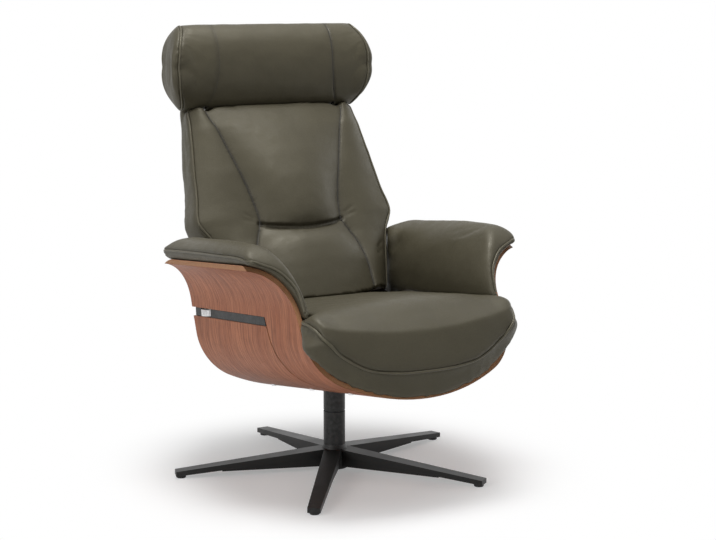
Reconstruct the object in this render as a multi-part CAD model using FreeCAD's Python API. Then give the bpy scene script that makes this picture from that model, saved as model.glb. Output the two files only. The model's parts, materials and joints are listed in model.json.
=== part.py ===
import FreeCAD, Part
import math
import os

V = FreeCAD.Vector

# Frame: +Z up, front of the chair towards -Y, millimetres.
# Shapes are drawn with the swivel axis at the origin and the floor at Z 0, and then moved along Y
# by ORIGIN_SHIFT, so that the row's origin is under the middle of the outer box.
# The shell, seat and mechanism are drawn in a seat frame that is tipped back about X by SEAT_TILT.
# The back is drawn in its own frame: X across, Y to the rear, Z up along the back.

ORIGIN_SHIFT = 13.8

# Fits
RUNNING_GAP = 0.05
SOFT_GAP = 0.5
SLIDE_GAP = 0.5

# Star base
LEG_COUNT = 5
FIRST_LEG_ANGLE = -36.0
GLIDE_CIRCLE_RADIUS = 386.0
LEG_TIP_OVERHANG = 14.0
LEG_ROOT_WIDTH = 46.0
LEG_TIP_WIDTH = 31.0
LEG_ROOT_TOP = 60.0
LEG_TIP_TOP = 18.0
LEG_TIP_THICKNESS = 12.0
LEG_WEB_WIDTH = 24.0
LEG_WEB_BOTTOM = 12.0
LEG_WEB_END_RADIUS = 285.0
HUB_RADIUS = 33.0
HUB_BOTTOM = 6.0
HUB_TOP = 66.0
GLIDE_RADIUS = 12.0
GLIDE_HEIGHT = 6.0
GLIDE_STEM_RADIUS = 4.0
GLIDE_STEM_LENGTH = 8.0

# Column and swivel
COLUMN_RADIUS = 27.0
COLUMN_BORE_RADIUS = 19.0
COLUMN_TOP = 150.0
COLUMN_FLOOR = 26.0
SPINDLE_RADIUS = 15.0
BUSH_LENGTH = 26.0
BUSH_FLANGE_THICKNESS = 2.0
WASHER_THICKNESS = 2.0
WASHER_RADIUS = 24.0
RING_THICKNESS = 2.0
RING_RADIUS = 18.0
RING_GROOVE_DEPTH = 1.5
SPINDLE_FOOT_GAP = 6.0
CAP_RADIUS = 16.0
CAP_THICKNESS = 4.0

# Seat frame and bent plywood shell
SEAT_TILT = 5.6
SHELL_THICKNESS = 12.0
WALL_X = 274.0
FLARE_START = 434.0
FLARE_RADIUS = 108.0
FLARE_ANGLE = 80.0
BOTTOM_RADIUS = 469.0
CORNER_RADIUS = 127.0
FRONT_BOTTOM = 227.0
REAR_BOTTOM = 197.0
SHELL_FRONT_Y = -455.0
SHELL_FRONT_Z = 232.0
FRONT_SLOPE = 0.47
SHELL_REAR_Y = 206.0
REAR_SLOPE = 0.27
ARM_CORNER_RADIUS = 62.0
ARM_REAR_RADIUS = 100.0
FRONT_BAND_DEPTH = 165.0
PANEL_GAP = 4.0
SLOT_BOTTOM = 400.5
SLOT_HEIGHT = 22.0
COLUMN_HOLE_GAP = 3.0

# Steel cradle and seat rails
RIB_THICKNESS = 8.0
RIB_WIDTH = 40.0
HOOP_Y = -340.0
HOOP_TOP = 312.0
FRONT_RIB_Y = -150.0
REAR_RIB_Y = 50.0
KEEL_HALF_WIDTH = 20.0
PLATE_HALF_WIDTH = 70.0
PLATE_THICKNESS = 8.0
PLATE_Z = 234.0
BEAM_HALF_WIDTH = 165.0
BEAM_BOTTOM = 262.0
BEAM_TOP = 288.0
BEAM_WIDTH = 30.0
FRONT_BEAM_Y = -190.0
REAR_BEAM_Y = -20.0
RAIL_X = 150.0
RAIL_WIDTH = 26.0
RAIL_HEIGHT = 18.0
RAIL_FLOOR = 4.0
RAIL_FRONT_Y = -345.0
RAIL_REAR_Y = 10.0
RUNNER_WIDTH = 16.0
RUNNER_FRONT_Y = -300.0
RUNNER_REAR_Y = 0.0
BAR_HEIGHT = 20.0
BAR_RECESS = 2.0
BAR_FRONT_MARGIN = 4.0
BAR_REAR_Y = 98.0
BAR_END_FRONT_Y = 154.0
BAR_END_REAR_Y = 186.0
BAR_EAR_REACH = 14.0
BAR_EAR_THICKNESS = 5.0
SCREW_HEAD_RADIUS = 6.0
SCREW_HEAD_HEIGHT = 2.5
SCREW_SHANK_RADIUS = 2.5
SCREW_X = 132.0

# Hand wheels in the slots
KNOB_RADIUS = 26.0
KNOB_HEIGHT = 16.0
KNOB_X = 256.0
KNOB_Y = 126.0
KNOB_RIBS = 48
KNOB_RIB_DEPTH = 1.2
KNOB_PIN_RADIUS = 4.0
KNOB_PIN_HEAD_RADIUS = 7.0
KNOB_PIN_HEAD_HEIGHT = 3.0

# Back pivot and drive
PIVOT_Y = 58.0
PIVOT_PIN_RADIUS = 6.0
PIVOT_BUSH_RADIUS = 9.0
BACK_ARM_X = 212.0
BACK_ARM_THICKNESS = 8.0
BACK_ARM_WIDTH = 36.0
DRIVE_ARM_LENGTH = 100.0
DRIVE_PIN_RADIUS = 5.0
DRIVE_SLOT_SIDE_GAP = 0.8
RECLINE_ANGLE = 24.0

# Seat
PAN_HALF_WIDTH = 190.0
PAN_THICKNESS = 12.0
PAN_FRONT_Y = -375.0
PAN_REAR_Y = 36.0
BRACKET_THICKNESS = 6.0
SEAT_REAR_Y = 42.0
SEAT_SIDE_X = 235.0
SEAT_REAR_HALF_WIDTH = 196.0
SEAT_TOP_BACK = 430.0
SEAT_TOP_MIDDLE = 440.0
SEAT_CROWN_Y = -392.0

# Back
BACK_TILT = 27.6
BACK_FOOT_Y = 116.0
BACK_FOOT_Z = 426.0
BACK_LENGTH = 509.0
CUSHION_DEPTH = 60.0
CUSHION_SIDE_BULGE = 2.0
BOARD_THICKNESS = 12.0
COVER_THICKNESS = 16.0
BOARD_MARGIN = 20.0
COVER_MARGIN = 14.0
# Height along the back, half width, bow of the piping to the front, crown of the face, rear draw-in
BACK_SHAPE = [
    (-110.0, 196.0, -14.0, 90.0, 14.0),
    (-30.0, 215.0, -4.0, 90.0, 12.0),
    (60.0, 234.0, 8.0, 88.0, 8.0),
    (150.0, 254.0, 18.0, 79.0, 2.0),
    (207.0, 280.0, 19.0, 68.0, -1.0),
    (267.4, 270.0, 17.0, 58.0, 0.0),
    (327.8, 265.0, 16.0, 49.0, 7.0),
    (388.2, 257.0, 17.0, 42.0, 13.0),
    (448.6, 249.0, 17.0, 33.0, 19.0),
    (509.0, 239.0, 9.0, 21.0, 22.0),
]
BACK_STEP = 60.4
BACK_STEPS_BELOW = 10

# Head roll
POST_X = 185.0
POST_RADIUS = 5.0
POST_DEPTH = -4.0
POST_TOP = 545.0
GUIDE_RADIUS = 8.0
GUIDE_LENGTH = 150.0
POST_ENGAGED = 135.0
COLLAR_RADIUS = 13.0
COLLAR_NECK_RADIUS = 7.5
COLLAR_FLANGE = 4.0
COLLAR_STEP = 3.0
ROLL_CENTRE_Y = 358.0
ROLL_BOTTOM = 887.0
ROLL_HALF_DEPTH = 57.0
ROLL_HALF_HEIGHT = 107.0
ROLL_SEAM_X = 246.0
ROLL_HINGE_HEIGHT = 52.0
ROLL_ROD_RADIUS = 6.0
ROLL_ROD_HALF_LENGTH = 200.0
EAR_THICKNESS = 8.0
EAR_RADIUS = 11.0
EAR_BELOW_TOP = 24.0
STRAP_LOW = 400.0
STRAP_HIGH = 430.0
CORE_HALF_WIDTH = 165.0
CORE_THICKNESS = 8.0
CORE_HEIGHT = 120.0

# Arm pads
PAD_PROUD = 22.0
PAD_CORNER_RADIUS = 110.0
PAD_REAR_Y = 170.0
PAD_CROWN = 605.0
PAD_BOTTOM = 424.0
PAD_THICKNESS = 24.0
PAD_REAR_INNER_Y = 92.0
PAD_REAR_CLEAR_X = 288.0
PAD_STATION_STEP = 150.0


def front_edge_y(z):
    """Y of the shell's front edge at height z, in the seat frame."""
    return SHELL_FRONT_Y + FRONT_SLOPE * (z - SHELL_FRONT_Z)


def line(a, b):
    return Part.LineSegment(a, b).toShape()


def arc(a, m, b):
    return Part.Arc(a, m, b).toShape()


def polygon(points):
    return Part.makePolygon(points + [points[0]])


def prism_x(points_yz, x0, x1):
    """Solid between two X planes with an outline of (y, z) points."""
    face = Part.Face(polygon([V(x0, y, z) for y, z in points_yz]))
    return face.extrude(V(x1 - x0, 0, 0))


def box(x0, x1, y0, y1, z0, z1):
    return Part.makeBox(x1 - x0, y1 - y0, z1 - z0, V(x0, y0, z0))


def tube(outer, inner, height, base, direction=V(0, 0, 1)):
    body = Part.makeCylinder(outer, height, base, direction)
    return body.cut(Part.makeCylinder(inner, height, base, direction))


def soft_loft(wires):
    """Smooth solid through the sections, of low degree so that it doesn't swing between them."""
    return Part.makeLoft(wires, True, False, False, 2)


def mirrored(shape):
    return shape.mirror(V(0, 0, 0), V(1, 0, 0))


def tip(shape):
    """Move a shape from the seat frame to the row frame."""
    placed = shape.copy()
    placed.rotate(V(0, 0, 0), V(1, 0, 0), -SEAT_TILT)
    return placed


def tip_point(y, z):
    t = math.radians(SEAT_TILT)
    return y * math.cos(t) + z * math.sin(t), z * math.cos(t) - y * math.sin(t)


def lean(shape):
    """Move a shape from the back frame to the row frame."""
    placed = shape.copy()
    placed.rotate(V(0, 0, 0), V(1, 0, 0), -BACK_TILT)
    placed.translate(V(0, BACK_FOOT_Y, BACK_FOOT_Z))
    return placed


def unlean(shape):
    """Move a shape from the row frame to the back frame."""
    placed = shape.copy()
    placed.translate(V(0, -BACK_FOOT_Y, -BACK_FOOT_Z))
    placed.rotate(V(0, 0, 0), V(1, 0, 0), BACK_TILT)
    return placed


def lean_point(y, z):
    t = math.radians(BACK_TILT)
    return BACK_FOOT_Y + y * math.cos(t) + z * math.sin(t), BACK_FOOT_Z + z * math.cos(t) - y * math.sin(t)


# Star base

def leg(angle):
    tip_radius = GLIDE_CIRCLE_RADIUS + LEG_TIP_OVERHANG

    def section(radius, width, z0, z1):
        half = width / 2
        corners = [V(-half, -radius, z0), V(half, -radius, z0), V(half, -radius, z1), V(-half, -radius, z1)]
        return polygon(corners)

    tip_floor = LEG_TIP_TOP - LEG_TIP_THICKNESS
    root_floor = LEG_ROOT_TOP - LEG_TIP_THICKNESS * 1.6
    top = Part.makeLoft([section(0, LEG_ROOT_WIDTH, root_floor, LEG_ROOT_TOP),
                         section(tip_radius, LEG_TIP_WIDTH, tip_floor, LEG_TIP_TOP)], True, True)
    share = LEG_WEB_END_RADIUS / tip_radius
    end_top = LEG_ROOT_TOP + (LEG_TIP_TOP - LEG_ROOT_TOP) * share - 2.0
    web = Part.makeLoft([section(0, LEG_WEB_WIDTH * 1.4, LEG_WEB_BOTTOM, LEG_ROOT_TOP - 2.0),
                         section(LEG_WEB_END_RADIUS, LEG_WEB_WIDTH, LEG_WEB_BOTTOM, end_top)], True, True)
    solid = top.fuse(web)
    stem = Part.makeCylinder(GLIDE_STEM_RADIUS, GLIDE_STEM_LENGTH, V(0, -GLIDE_CIRCLE_RADIUS, GLIDE_HEIGHT))
    solid = solid.cut(stem)
    solid.rotate(V(0, 0, 0), V(0, 0, 1), angle)
    return solid


def leg_angles():
    return [FIRST_LEG_ANGLE + 360.0 / LEG_COUNT * k for k in range(LEG_COUNT)]


def star_base():
    hub = Part.makeCylinder(HUB_RADIUS, HUB_TOP - HUB_BOTTOM - 12.0, V(0, 0, HUB_BOTTOM))
    skirt = Part.makeCone(HUB_RADIUS + 4.0, COLUMN_RADIUS + 0.5, 18.0, V(0, 0, HUB_TOP - 18.0))
    solid = hub.fuse(skirt)
    for angle in leg_angles():
        solid = solid.fuse(leg(angle))
    solid = solid.cut(Part.makeCylinder(COLUMN_RADIUS, HUB_TOP, V(0, 0, COLUMN_FLOOR)))
    solid = solid.cut(Part.makeCylinder(CAP_RADIUS, COLUMN_FLOOR, V(0, 0, 0)))
    return solid.removeSplitter()


def glide(angle):
    foot = Part.makeCylinder(GLIDE_RADIUS, GLIDE_HEIGHT, V(0, -GLIDE_CIRCLE_RADIUS, 0))
    foot = foot.makeChamfer(1.2, [e for e in foot.Edges if e.BoundBox.ZMax < 0.01])
    stem = Part.makeCylinder(GLIDE_STEM_RADIUS, GLIDE_STEM_LENGTH, V(0, -GLIDE_CIRCLE_RADIUS, GLIDE_HEIGHT))
    solid = foot.fuse(stem).removeSplitter()
    solid.rotate(V(0, 0, 0), V(0, 0, 1), angle)
    return solid


# Column and swivel

def column_tube():
    body = Part.makeCylinder(COLUMN_RADIUS, COLUMN_TOP - COLUMN_FLOOR, V(0, 0, COLUMN_FLOOR))
    return body.cut(Part.makeCylinder(COLUMN_BORE_RADIUS, COLUMN_TOP, V(0, 0, COLUMN_FLOOR)))


def bush(z_low, flange_on_top):
    outer = COLUMN_BORE_RADIUS
    inner = SPINDLE_RADIUS + RUNNING_GAP
    body = tube(outer, inner, BUSH_LENGTH, V(0, 0, z_low))
    if flange_on_top:
        body = body.fuse(tube(WASHER_RADIUS, inner, BUSH_FLANGE_THICKNESS, V(0, 0, z_low + BUSH_LENGTH)))
    return body.removeSplitter()


def upper_bush_bottom():
    return COLUMN_TOP - BUSH_LENGTH


def sleeve_bottom():
    return COLUMN_TOP + BUSH_FLANGE_THICKNESS + WASHER_THICKNESS + RUNNING_GAP


def lower_bush_bottom():
    return COLUMN_FLOOR + 24.0


def thrust_washer():
    z = COLUMN_TOP + BUSH_FLANGE_THICKNESS
    return tube(WASHER_RADIUS, SPINDLE_RADIUS + RUNNING_GAP, WASHER_THICKNESS, V(0, 0, z))


def spindle_groove_z():
    return lower_bush_bottom() - RING_THICKNESS - RUNNING_GAP


def swivel_spindle():
    low = spindle_groove_z() - SPINDLE_FOOT_GAP
    body = Part.makeCylinder(SPINDLE_RADIUS, sleeve_bottom() + 30.0 - low, V(0, 0, low))
    foot = V(0, 0, spindle_groove_z())
    return body.cut(tube(SPINDLE_RADIUS, SPINDLE_RADIUS - RING_GROOVE_DEPTH, RING_THICKNESS, foot))


def retaining_ring():
    base = V(0, 0, spindle_groove_z())
    ring = tube(RING_RADIUS, SPINDLE_RADIUS - RING_GROOVE_DEPTH, RING_THICKNESS, base)
    return ring.cut(box(-3, 3, 0, RING_RADIUS + 1, base.z, base.z + RING_THICKNESS))


def column_sleeve():
    """Upper sleeve: a tube on the spindle, closed above, cut square to the tipped cradle plate."""
    tall = 140.0
    body = Part.makeCylinder(COLUMN_RADIUS, tall, V(0, 0, sleeve_bottom()))
    body = body.cut(Part.makeCylinder(SPINDLE_RADIUS, 30.0, V(0, 0, sleeve_bottom())))
    over = tip(box(-60, 60, -60, 60, PLATE_Z, PLATE_Z + 200))
    return body.cut(over)


def hub_cap():
    plug = Part.makeCylinder(CAP_RADIUS, CAP_THICKNESS, V(0, 0, HUB_BOTTOM))
    return plug.fuse(Part.makeCylinder(CAP_RADIUS - 3.0, 8.0, V(0, 0, HUB_BOTTOM))).removeSplitter()


# Bent plywood shell

def corner_centre_z(bottom):
    reach = BOTTOM_RADIUS - CORNER_RADIUS
    return bottom + BOTTOM_RADIUS - math.sqrt(reach ** 2 - (WALL_X - CORNER_RADIUS) ** 2)


def shell_half_outline(bottom, inset):
    """Points and arc middles of the right half of the section, from bottom centre to flare."""
    corner_x = WALL_X - CORNER_RADIUS
    corner_z = corner_centre_z(bottom)
    big = BOTTOM_RADIUS - inset
    small = CORNER_RADIUS - inset
    flare = FLARE_RADIUS + inset
    turn = math.atan2(corner_x, bottom + BOTTOM_RADIUS - corner_z)
    centre_z = bottom + BOTTOM_RADIUS
    middle = (turn + math.pi / 2) / 2
    end = math.radians(FLARE_ANGLE)
    flare_x = WALL_X + FLARE_RADIUS

    def at(cx, cz, r, a):
        return cx + r * math.sin(a), cz - r * math.cos(a)

    return {"bottom": (0.0, centre_z - big),
            "turn": at(0, centre_z, big, turn),
            "corner_mid": at(corner_x, corner_z, small, middle),
            "wall_low": (WALL_X - inset, corner_z),
            "wall_high": (WALL_X - inset, FLARE_START),
            "flare_mid": at(flare_x, FLARE_START, flare, -math.pi / 2 - end / 2),
            "flare_end": at(flare_x, FLARE_START, flare, -math.pi / 2 - end)}


HALF_ORDER = ("flare_end", "flare_mid", "wall_high", "wall_low", "corner_mid", "turn")


def shell_wire(y, bottom, outer_inset, inner_inset):
    outer = shell_half_outline(bottom, outer_inset)
    inner = shell_half_outline(bottom, inner_inset)

    def p(points, name, side):
        return V(side * points[name][0], y, points[name][1])

    def half(points, side):
        flare_end, flare_mid, high, low, corner_mid, turn = (p(points, name, side) for name in HALF_ORDER)
        return [arc(flare_end, flare_mid, high), line(high, low), arc(low, corner_mid, turn)]

    def floor(points):
        return arc(p(points, "turn", -1), p(points, "bottom", 1), p(points, "turn", 1))

    edges = half(outer, -1) + [floor(outer)] + list(reversed(half(outer, 1)))
    edges += [line(p(outer, "flare_end", 1), p(inner, "flare_end", 1))]
    edges += half(inner, 1) + [floor(inner)] + list(reversed(half(inner, -1)))
    edges += [line(p(inner, "flare_end", -1), p(outer, "flare_end", -1))]
    return Part.Wire(Part.__sortEdges__(edges))


def shell_wall(outer_inset, inner_inset):
    """The full bent wall, longer than the chair, deeper at the rear than at the front."""
    y0, y1 = SHELL_FRONT_Y - 30.0, SHELL_REAR_Y + 30.0
    slope = (REAR_BOTTOM - FRONT_BOTTOM) / (SHELL_REAR_Y - SHELL_FRONT_Y)
    bottom0 = FRONT_BOTTOM + slope * (y0 - SHELL_FRONT_Y)
    bottom1 = FRONT_BOTTOM + slope * (y1 - SHELL_FRONT_Y)
    front = shell_wire(y0, bottom0, outer_inset, inner_inset)
    rear = shell_wire(y1, bottom1, outer_inset, inner_inset)
    return Part.makeLoft([front, rear], True, True)


def side_outline(grow, rear_y, rear_slope, front_r, rear_r, top):
    """Side view as a solid across X: sloping front and rear edges, rounded top corners."""
    low, half_span = 150.0, 460.0
    front_lean = math.atan(FRONT_SLOPE)
    rear_lean = math.atan(rear_slope)

    def p(y, z):
        return V(-half_span, y, z)

    def on_arc(y, z, r, angle):
        return p(y + r * math.sin(angle), z + r * math.cos(angle))

    front_z = top - front_r
    front_y = front_edge_y(front_z) - grow + front_r / math.cos(front_lean)
    rear_z = top - rear_r
    rear_c = rear_y + rear_slope * (rear_z - FLARE_START) - rear_r / math.cos(rear_lean)
    front_end = -(math.pi / 2 - front_lean)
    rear_end = math.pi / 2 + rear_lean
    front_tangent = on_arc(front_y, front_z, front_r, front_end)
    rear_tangent = on_arc(rear_c, rear_z, rear_r, rear_end)
    low_front = p(front_edge_y(low) - grow, low)
    low_rear = p(rear_y + rear_slope * (low - FLARE_START), low)
    edges = [line(low_front, front_tangent),
             arc(front_tangent, on_arc(front_y, front_z, front_r, front_end / 2), p(front_y, top)),
             line(p(front_y, top), p(rear_c, top)),
             arc(p(rear_c, top), on_arc(rear_c, rear_z, rear_r, rear_end / 2), rear_tangent),
             line(rear_tangent, low_rear),
             line(low_rear, low_front)]
    return Part.Face(Part.Wire(edges)).extrude(V(2 * half_span, 0, 0))


def shell_top():
    return shell_half_outline(FRONT_BOTTOM, SHELL_THICKNESS)["flare_end"][1] + 0.5


def split_y(z, offset):
    return front_edge_y(z) + FRONT_BAND_DEPTH + offset


def slot_top():
    return SLOT_BOTTOM + SLOT_HEIGHT


def column_hole():
    return Part.makeCylinder(COLUMN_RADIUS + COLUMN_HOLE_GAP, 400, V(0, 0, 100))


def shell_blank():
    outline = side_outline(0.0, SHELL_REAR_Y, REAR_SLOPE, ARM_CORNER_RADIUS, ARM_REAR_RADIUS,
                           shell_top())
    return shell_wall(0.0, SHELL_THICKNESS).common(outline)


def shell_front(blank):
    far = SHELL_REAR_Y + 60
    rear_part = [(split_y(150, 0), 150), (split_y(slot_top(), 0), slot_top()),
                 (far, slot_top()), (far, 150)]
    return tip(blank.cut(prism_x(rear_part, -460, 460)).cut(screw_shanks()))


def shell_rear(blank):
    far = SHELL_REAR_Y + 60
    keep = [(split_y(150, PANEL_GAP), 150), (split_y(SLOT_BOTTOM, PANEL_GAP), SLOT_BOTTOM),
            (far, SLOT_BOTTOM), (far, 150)]
    panel = tip(blank.common(prism_x(keep, -460, 460)).cut(screw_shanks()))
    return panel.cut(column_hole())


# Cradle, bars and rails

def rib(y_centre, top):
    """Steel band against the inside of the shell."""
    wall = shell_wall(SHELL_THICKNESS, SHELL_THICKNESS + RIB_THICKNESS)
    half = RIB_WIDTH / 2
    return wall.common(box(-300, 300, y_centre - half, y_centre + half, 150, top))


def bar_bottom():
    return SLOT_BOTTOM + (SLOT_HEIGHT - BAR_HEIGHT) / 2


def bar_top():
    return bar_bottom() + BAR_HEIGHT


def bar_middle():
    return (bar_bottom() + bar_top()) / 2


def pivot_boss(side):
    """Boss on the rear rib that holds the back's pivot pin."""
    inside = bar_inner_x() - RIB_THICKNESS / 2
    length = inside - (BACK_ARM_X + BACK_ARM_THICKNESS / 2 + SLIDE_GAP)
    start = V(side * inside, PIVOT_Y, bar_middle())
    return Part.makeCylinder(PIVOT_BUSH_RADIUS, length, start, V(-side, 0, 0))


def chassis_frame():
    half_rib = RIB_WIDTH / 2
    front = FRONT_RIB_Y - half_rib
    rear = REAR_RIB_Y + half_rib
    keel = KEEL_HALF_WIDTH
    plate_top = PLATE_Z + PLATE_THICKNESS
    frame = box(-PLATE_HALF_WIDTH, PLATE_HALF_WIDTH, front, rear, PLATE_Z, plate_top)
    frame = frame.fuse(box(-keel, keel, HOOP_Y - half_rib, REAR_RIB_Y, plate_top, BEAM_BOTTOM))
    frame = frame.fuse(box(-keel, keel, HOOP_Y - half_rib, HOOP_Y + half_rib,
                           PLATE_Z + PLATE_THICKNESS / 2, BEAM_BOTTOM))
    for side in (-1, 1):
        x0, x1 = sorted((side * (PLATE_HALF_WIDTH - 30.0), side * (PLATE_HALF_WIDTH - 10.0)))
        foot = shell_floor_z(x1, rear) + 16.0
        frame = frame.fuse(box(x0, x1, REAR_RIB_Y - half_rib, rear, foot, PLATE_Z))
        frame = frame.fuse(pivot_boss(side))
    for y in (FRONT_BEAM_Y, REAR_BEAM_Y):
        y0, y1 = y - BEAM_WIDTH / 2, y + BEAM_WIDTH / 2
        beam = box(-BEAM_HALF_WIDTH, BEAM_HALF_WIDTH, y0, y1, BEAM_BOTTOM, BEAM_TOP)
        frame = frame.fuse(beam)
    for y, top in ((HOOP_Y, HOOP_TOP), (FRONT_RIB_Y, bar_top()), (REAR_RIB_Y, bar_top())):
        frame = frame.fuse(rib(y, top))
    for side in (-1, 1):
        start = V(side * BACK_ARM_X, PIVOT_Y, bar_middle())
        frame = frame.cut(Part.makeCylinder(PIVOT_PIN_RADIUS, 80, start, V(side, 0, 0)))
    return tip(frame.cut(screw_shanks()).removeSplitter())


def seat_rail():
    x0, x1 = RAIL_X - RAIL_WIDTH / 2, RAIL_X + RAIL_WIDTH / 2
    rail = box(x0, x1, RAIL_FRONT_Y, RAIL_REAR_Y, BEAM_TOP, BEAM_TOP + RAIL_HEIGHT)
    half = RUNNER_WIDTH / 2 + SLIDE_GAP
    channel = box(RAIL_X - half, RAIL_X + half, RAIL_FRONT_Y - 1, RAIL_REAR_Y + 1,
                  BEAM_TOP + RAIL_FLOOR, BEAM_TOP + RAIL_HEIGHT + 1)
    return tip(rail.cut(channel))


def bar_outer_x():
    return WALL_X - BAR_RECESS


def bar_inner_x():
    return WALL_X - SHELL_THICKNESS


def arm_bar():
    """Flat bar in the slot, with an ear that holds the hand wheel's pin and the slot's end block."""
    x0, x1 = bar_inner_x(), bar_outer_x()
    margin = PANEL_GAP + BAR_FRONT_MARGIN
    outline = [(split_y(bar_bottom(), margin), bar_bottom()), (BAR_REAR_Y, bar_bottom()),
               (BAR_REAR_Y, bar_top()), (split_y(bar_top(), margin), bar_top())]
    ear_top = knob_z() - SLIDE_GAP
    ear_bottom = ear_top - BAR_EAR_THICKNESS
    inner = KNOB_X - BAR_EAR_REACH
    front = REAR_RIB_Y + RIB_WIDTH / 2 + 2.0
    ear = box(inner, x0 - 1.0, front, BAR_END_REAR_Y, ear_bottom, ear_top)
    bridge = box(inner, x0, front, BAR_REAR_Y, ear_bottom, bar_middle())
    end = box(inner, x1, BAR_END_FRONT_Y, BAR_END_REAR_Y, bar_bottom(), bar_top())
    bar = prism_x(outline, x0, x1).fuse(ear).fuse(bridge).fuse(end).removeSplitter()
    return tip(bar.cut(Part.makeCylinder(KNOB_PIN_RADIUS, 40, V(KNOB_X, KNOB_Y, ear_top - 20))))


def knob_z():
    return SLOT_BOTTOM + (SLOT_HEIGHT - KNOB_HEIGHT) / 2


def friction_knob():
    wheel = Part.makeCylinder(KNOB_RADIUS, KNOB_HEIGHT, V(KNOB_X, KNOB_Y, knob_z()))
    bore = Part.makeCylinder(KNOB_PIN_RADIUS + RUNNING_GAP, KNOB_HEIGHT, V(KNOB_X, KNOB_Y, knob_z()))
    wheel = wheel.cut(bore)
    groove = Part.makeCylinder(KNOB_RIB_DEPTH, KNOB_HEIGHT, V(KNOB_X + KNOB_RADIUS, KNOB_Y, knob_z()))
    cuts = []
    for k in range(KNOB_RIBS):
        one = groove.copy()
        one.rotate(V(KNOB_X, KNOB_Y, 0), V(0, 0, 1), 360.0 / KNOB_RIBS * k)
        cuts.append(one)
    return tip(wheel.cut(cuts))


def knob_pin():
    """Headed pin: its foot is held in the bar's ear, its head keeps the wheel down."""
    low = knob_z() - SLIDE_GAP - 6.0
    high = knob_z() + KNOB_HEIGHT + RUNNING_GAP
    pin = Part.makeCylinder(KNOB_PIN_RADIUS, high - low, V(KNOB_X, KNOB_Y, low))
    head = Part.makeCylinder(KNOB_PIN_HEAD_RADIUS, KNOB_PIN_HEAD_HEIGHT, V(KNOB_X, KNOB_Y, high))
    return tip(pin.fuse(head).removeSplitter())


def screw_places():
    return [(side * SCREW_X, y) for y in (HOOP_Y, FRONT_RIB_Y, REAR_RIB_Y) for side in (-1, 1)]


def screw_shanks():
    reach = SHELL_THICKNESS + RIB_THICKNESS + 6.0
    shanks = []
    for x, y in screw_places():
        shanks.append(Part.makeCylinder(SCREW_SHANK_RADIUS, reach, V(x, y, shell_floor_z(x, y) - 2.0)))
    return shanks


def shell_screw(place, panel):
    """Round-headed screw through the shell into a rib, its head shaped to the shell's outside."""
    x, y = place
    z = shell_floor_z(x, y)
    head = Part.makeCylinder(SCREW_HEAD_RADIUS, SCREW_HEAD_HEIGHT + 3.0, V(x, y, z - SCREW_HEAD_HEIGHT))
    shank = Part.makeCylinder(SCREW_SHANK_RADIUS, SHELL_THICKNESS + RIB_THICKNESS, V(x, y, z - 1.0))
    return tip(head.fuse(shank)).cut(panel)


def shell_floor_z(x, y):
    slope = (REAR_BOTTOM - FRONT_BOTTOM) / (SHELL_REAR_Y - SHELL_FRONT_Y)
    bottom = FRONT_BOTTOM + slope * (y - SHELL_FRONT_Y)
    return bottom + BOTTOM_RADIUS - math.sqrt(BOTTOM_RADIUS ** 2 - x ** 2)


# Arm pads

def pad_wire(offset, thickness, crown, reach):
    """Closed section of the right-hand pad in a plane parallel to the shell's front edge."""
    wood = shell_half_outline(FRONT_BOTTOM, SHELL_THICKNESS + SOFT_GAP)

    def p(x, z):
        return V(x, front_edge_y(z) + offset, z)

    end_x, end_z = wood["flare_end"]
    wall_x = wood["wall_high"][0]
    piping = (end_x + reach, crown - 26.0)
    crown_point = (end_x - 26.0, crown)
    shoulder = (end_x - 62.0 - 0.3 * thickness, crown - 14.0)
    inner_low = (wall_x - thickness, PAD_BOTTOM)
    inner_mid = (wall_x - thickness + 10.0, PAD_BOTTOM + 0.55 * (shoulder[1] - PAD_BOTTOM))
    return Part.Wire([line(p(wall_x, PAD_BOTTOM), p(wall_x, FLARE_START)),
                      arc(p(wall_x, FLARE_START), p(*wood["flare_mid"]), p(end_x, end_z)),
                      line(p(end_x, end_z), p(*piping)),
                      arc(p(*piping), p(*crown_point), p(*shoulder)),
                      arc(p(*shoulder), p(*inner_mid), p(*inner_low)),
                      line(p(*inner_low), p(wall_x, PAD_BOTTOM))])


def arm_pad():
    wires = [pad_wire(-PAD_PROUD, PAD_THICKNESS - 10.0, PAD_CROWN - 10.0, 3.0)]
    for k in range(1, 5):
        wires.append(pad_wire(-PAD_PROUD + PAD_STATION_STEP * k, PAD_THICKNESS, PAD_CROWN, 17.0))
    pad = soft_loft(wires)
    pad = pad.common(side_outline(PAD_PROUD, PAD_REAR_Y, 0.0, PAD_CORNER_RADIUS, PAD_CORNER_RADIUS,
                                  PAD_CROWN + 1.0))
    pad = pad.cut(box(150, PAD_REAR_CLEAR_X, PAD_REAR_INNER_Y, 400, 300, 700))
    return tip(pad.cut(shell_wall(0.0, SHELL_THICKNESS + SOFT_GAP)))


# Seat

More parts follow.
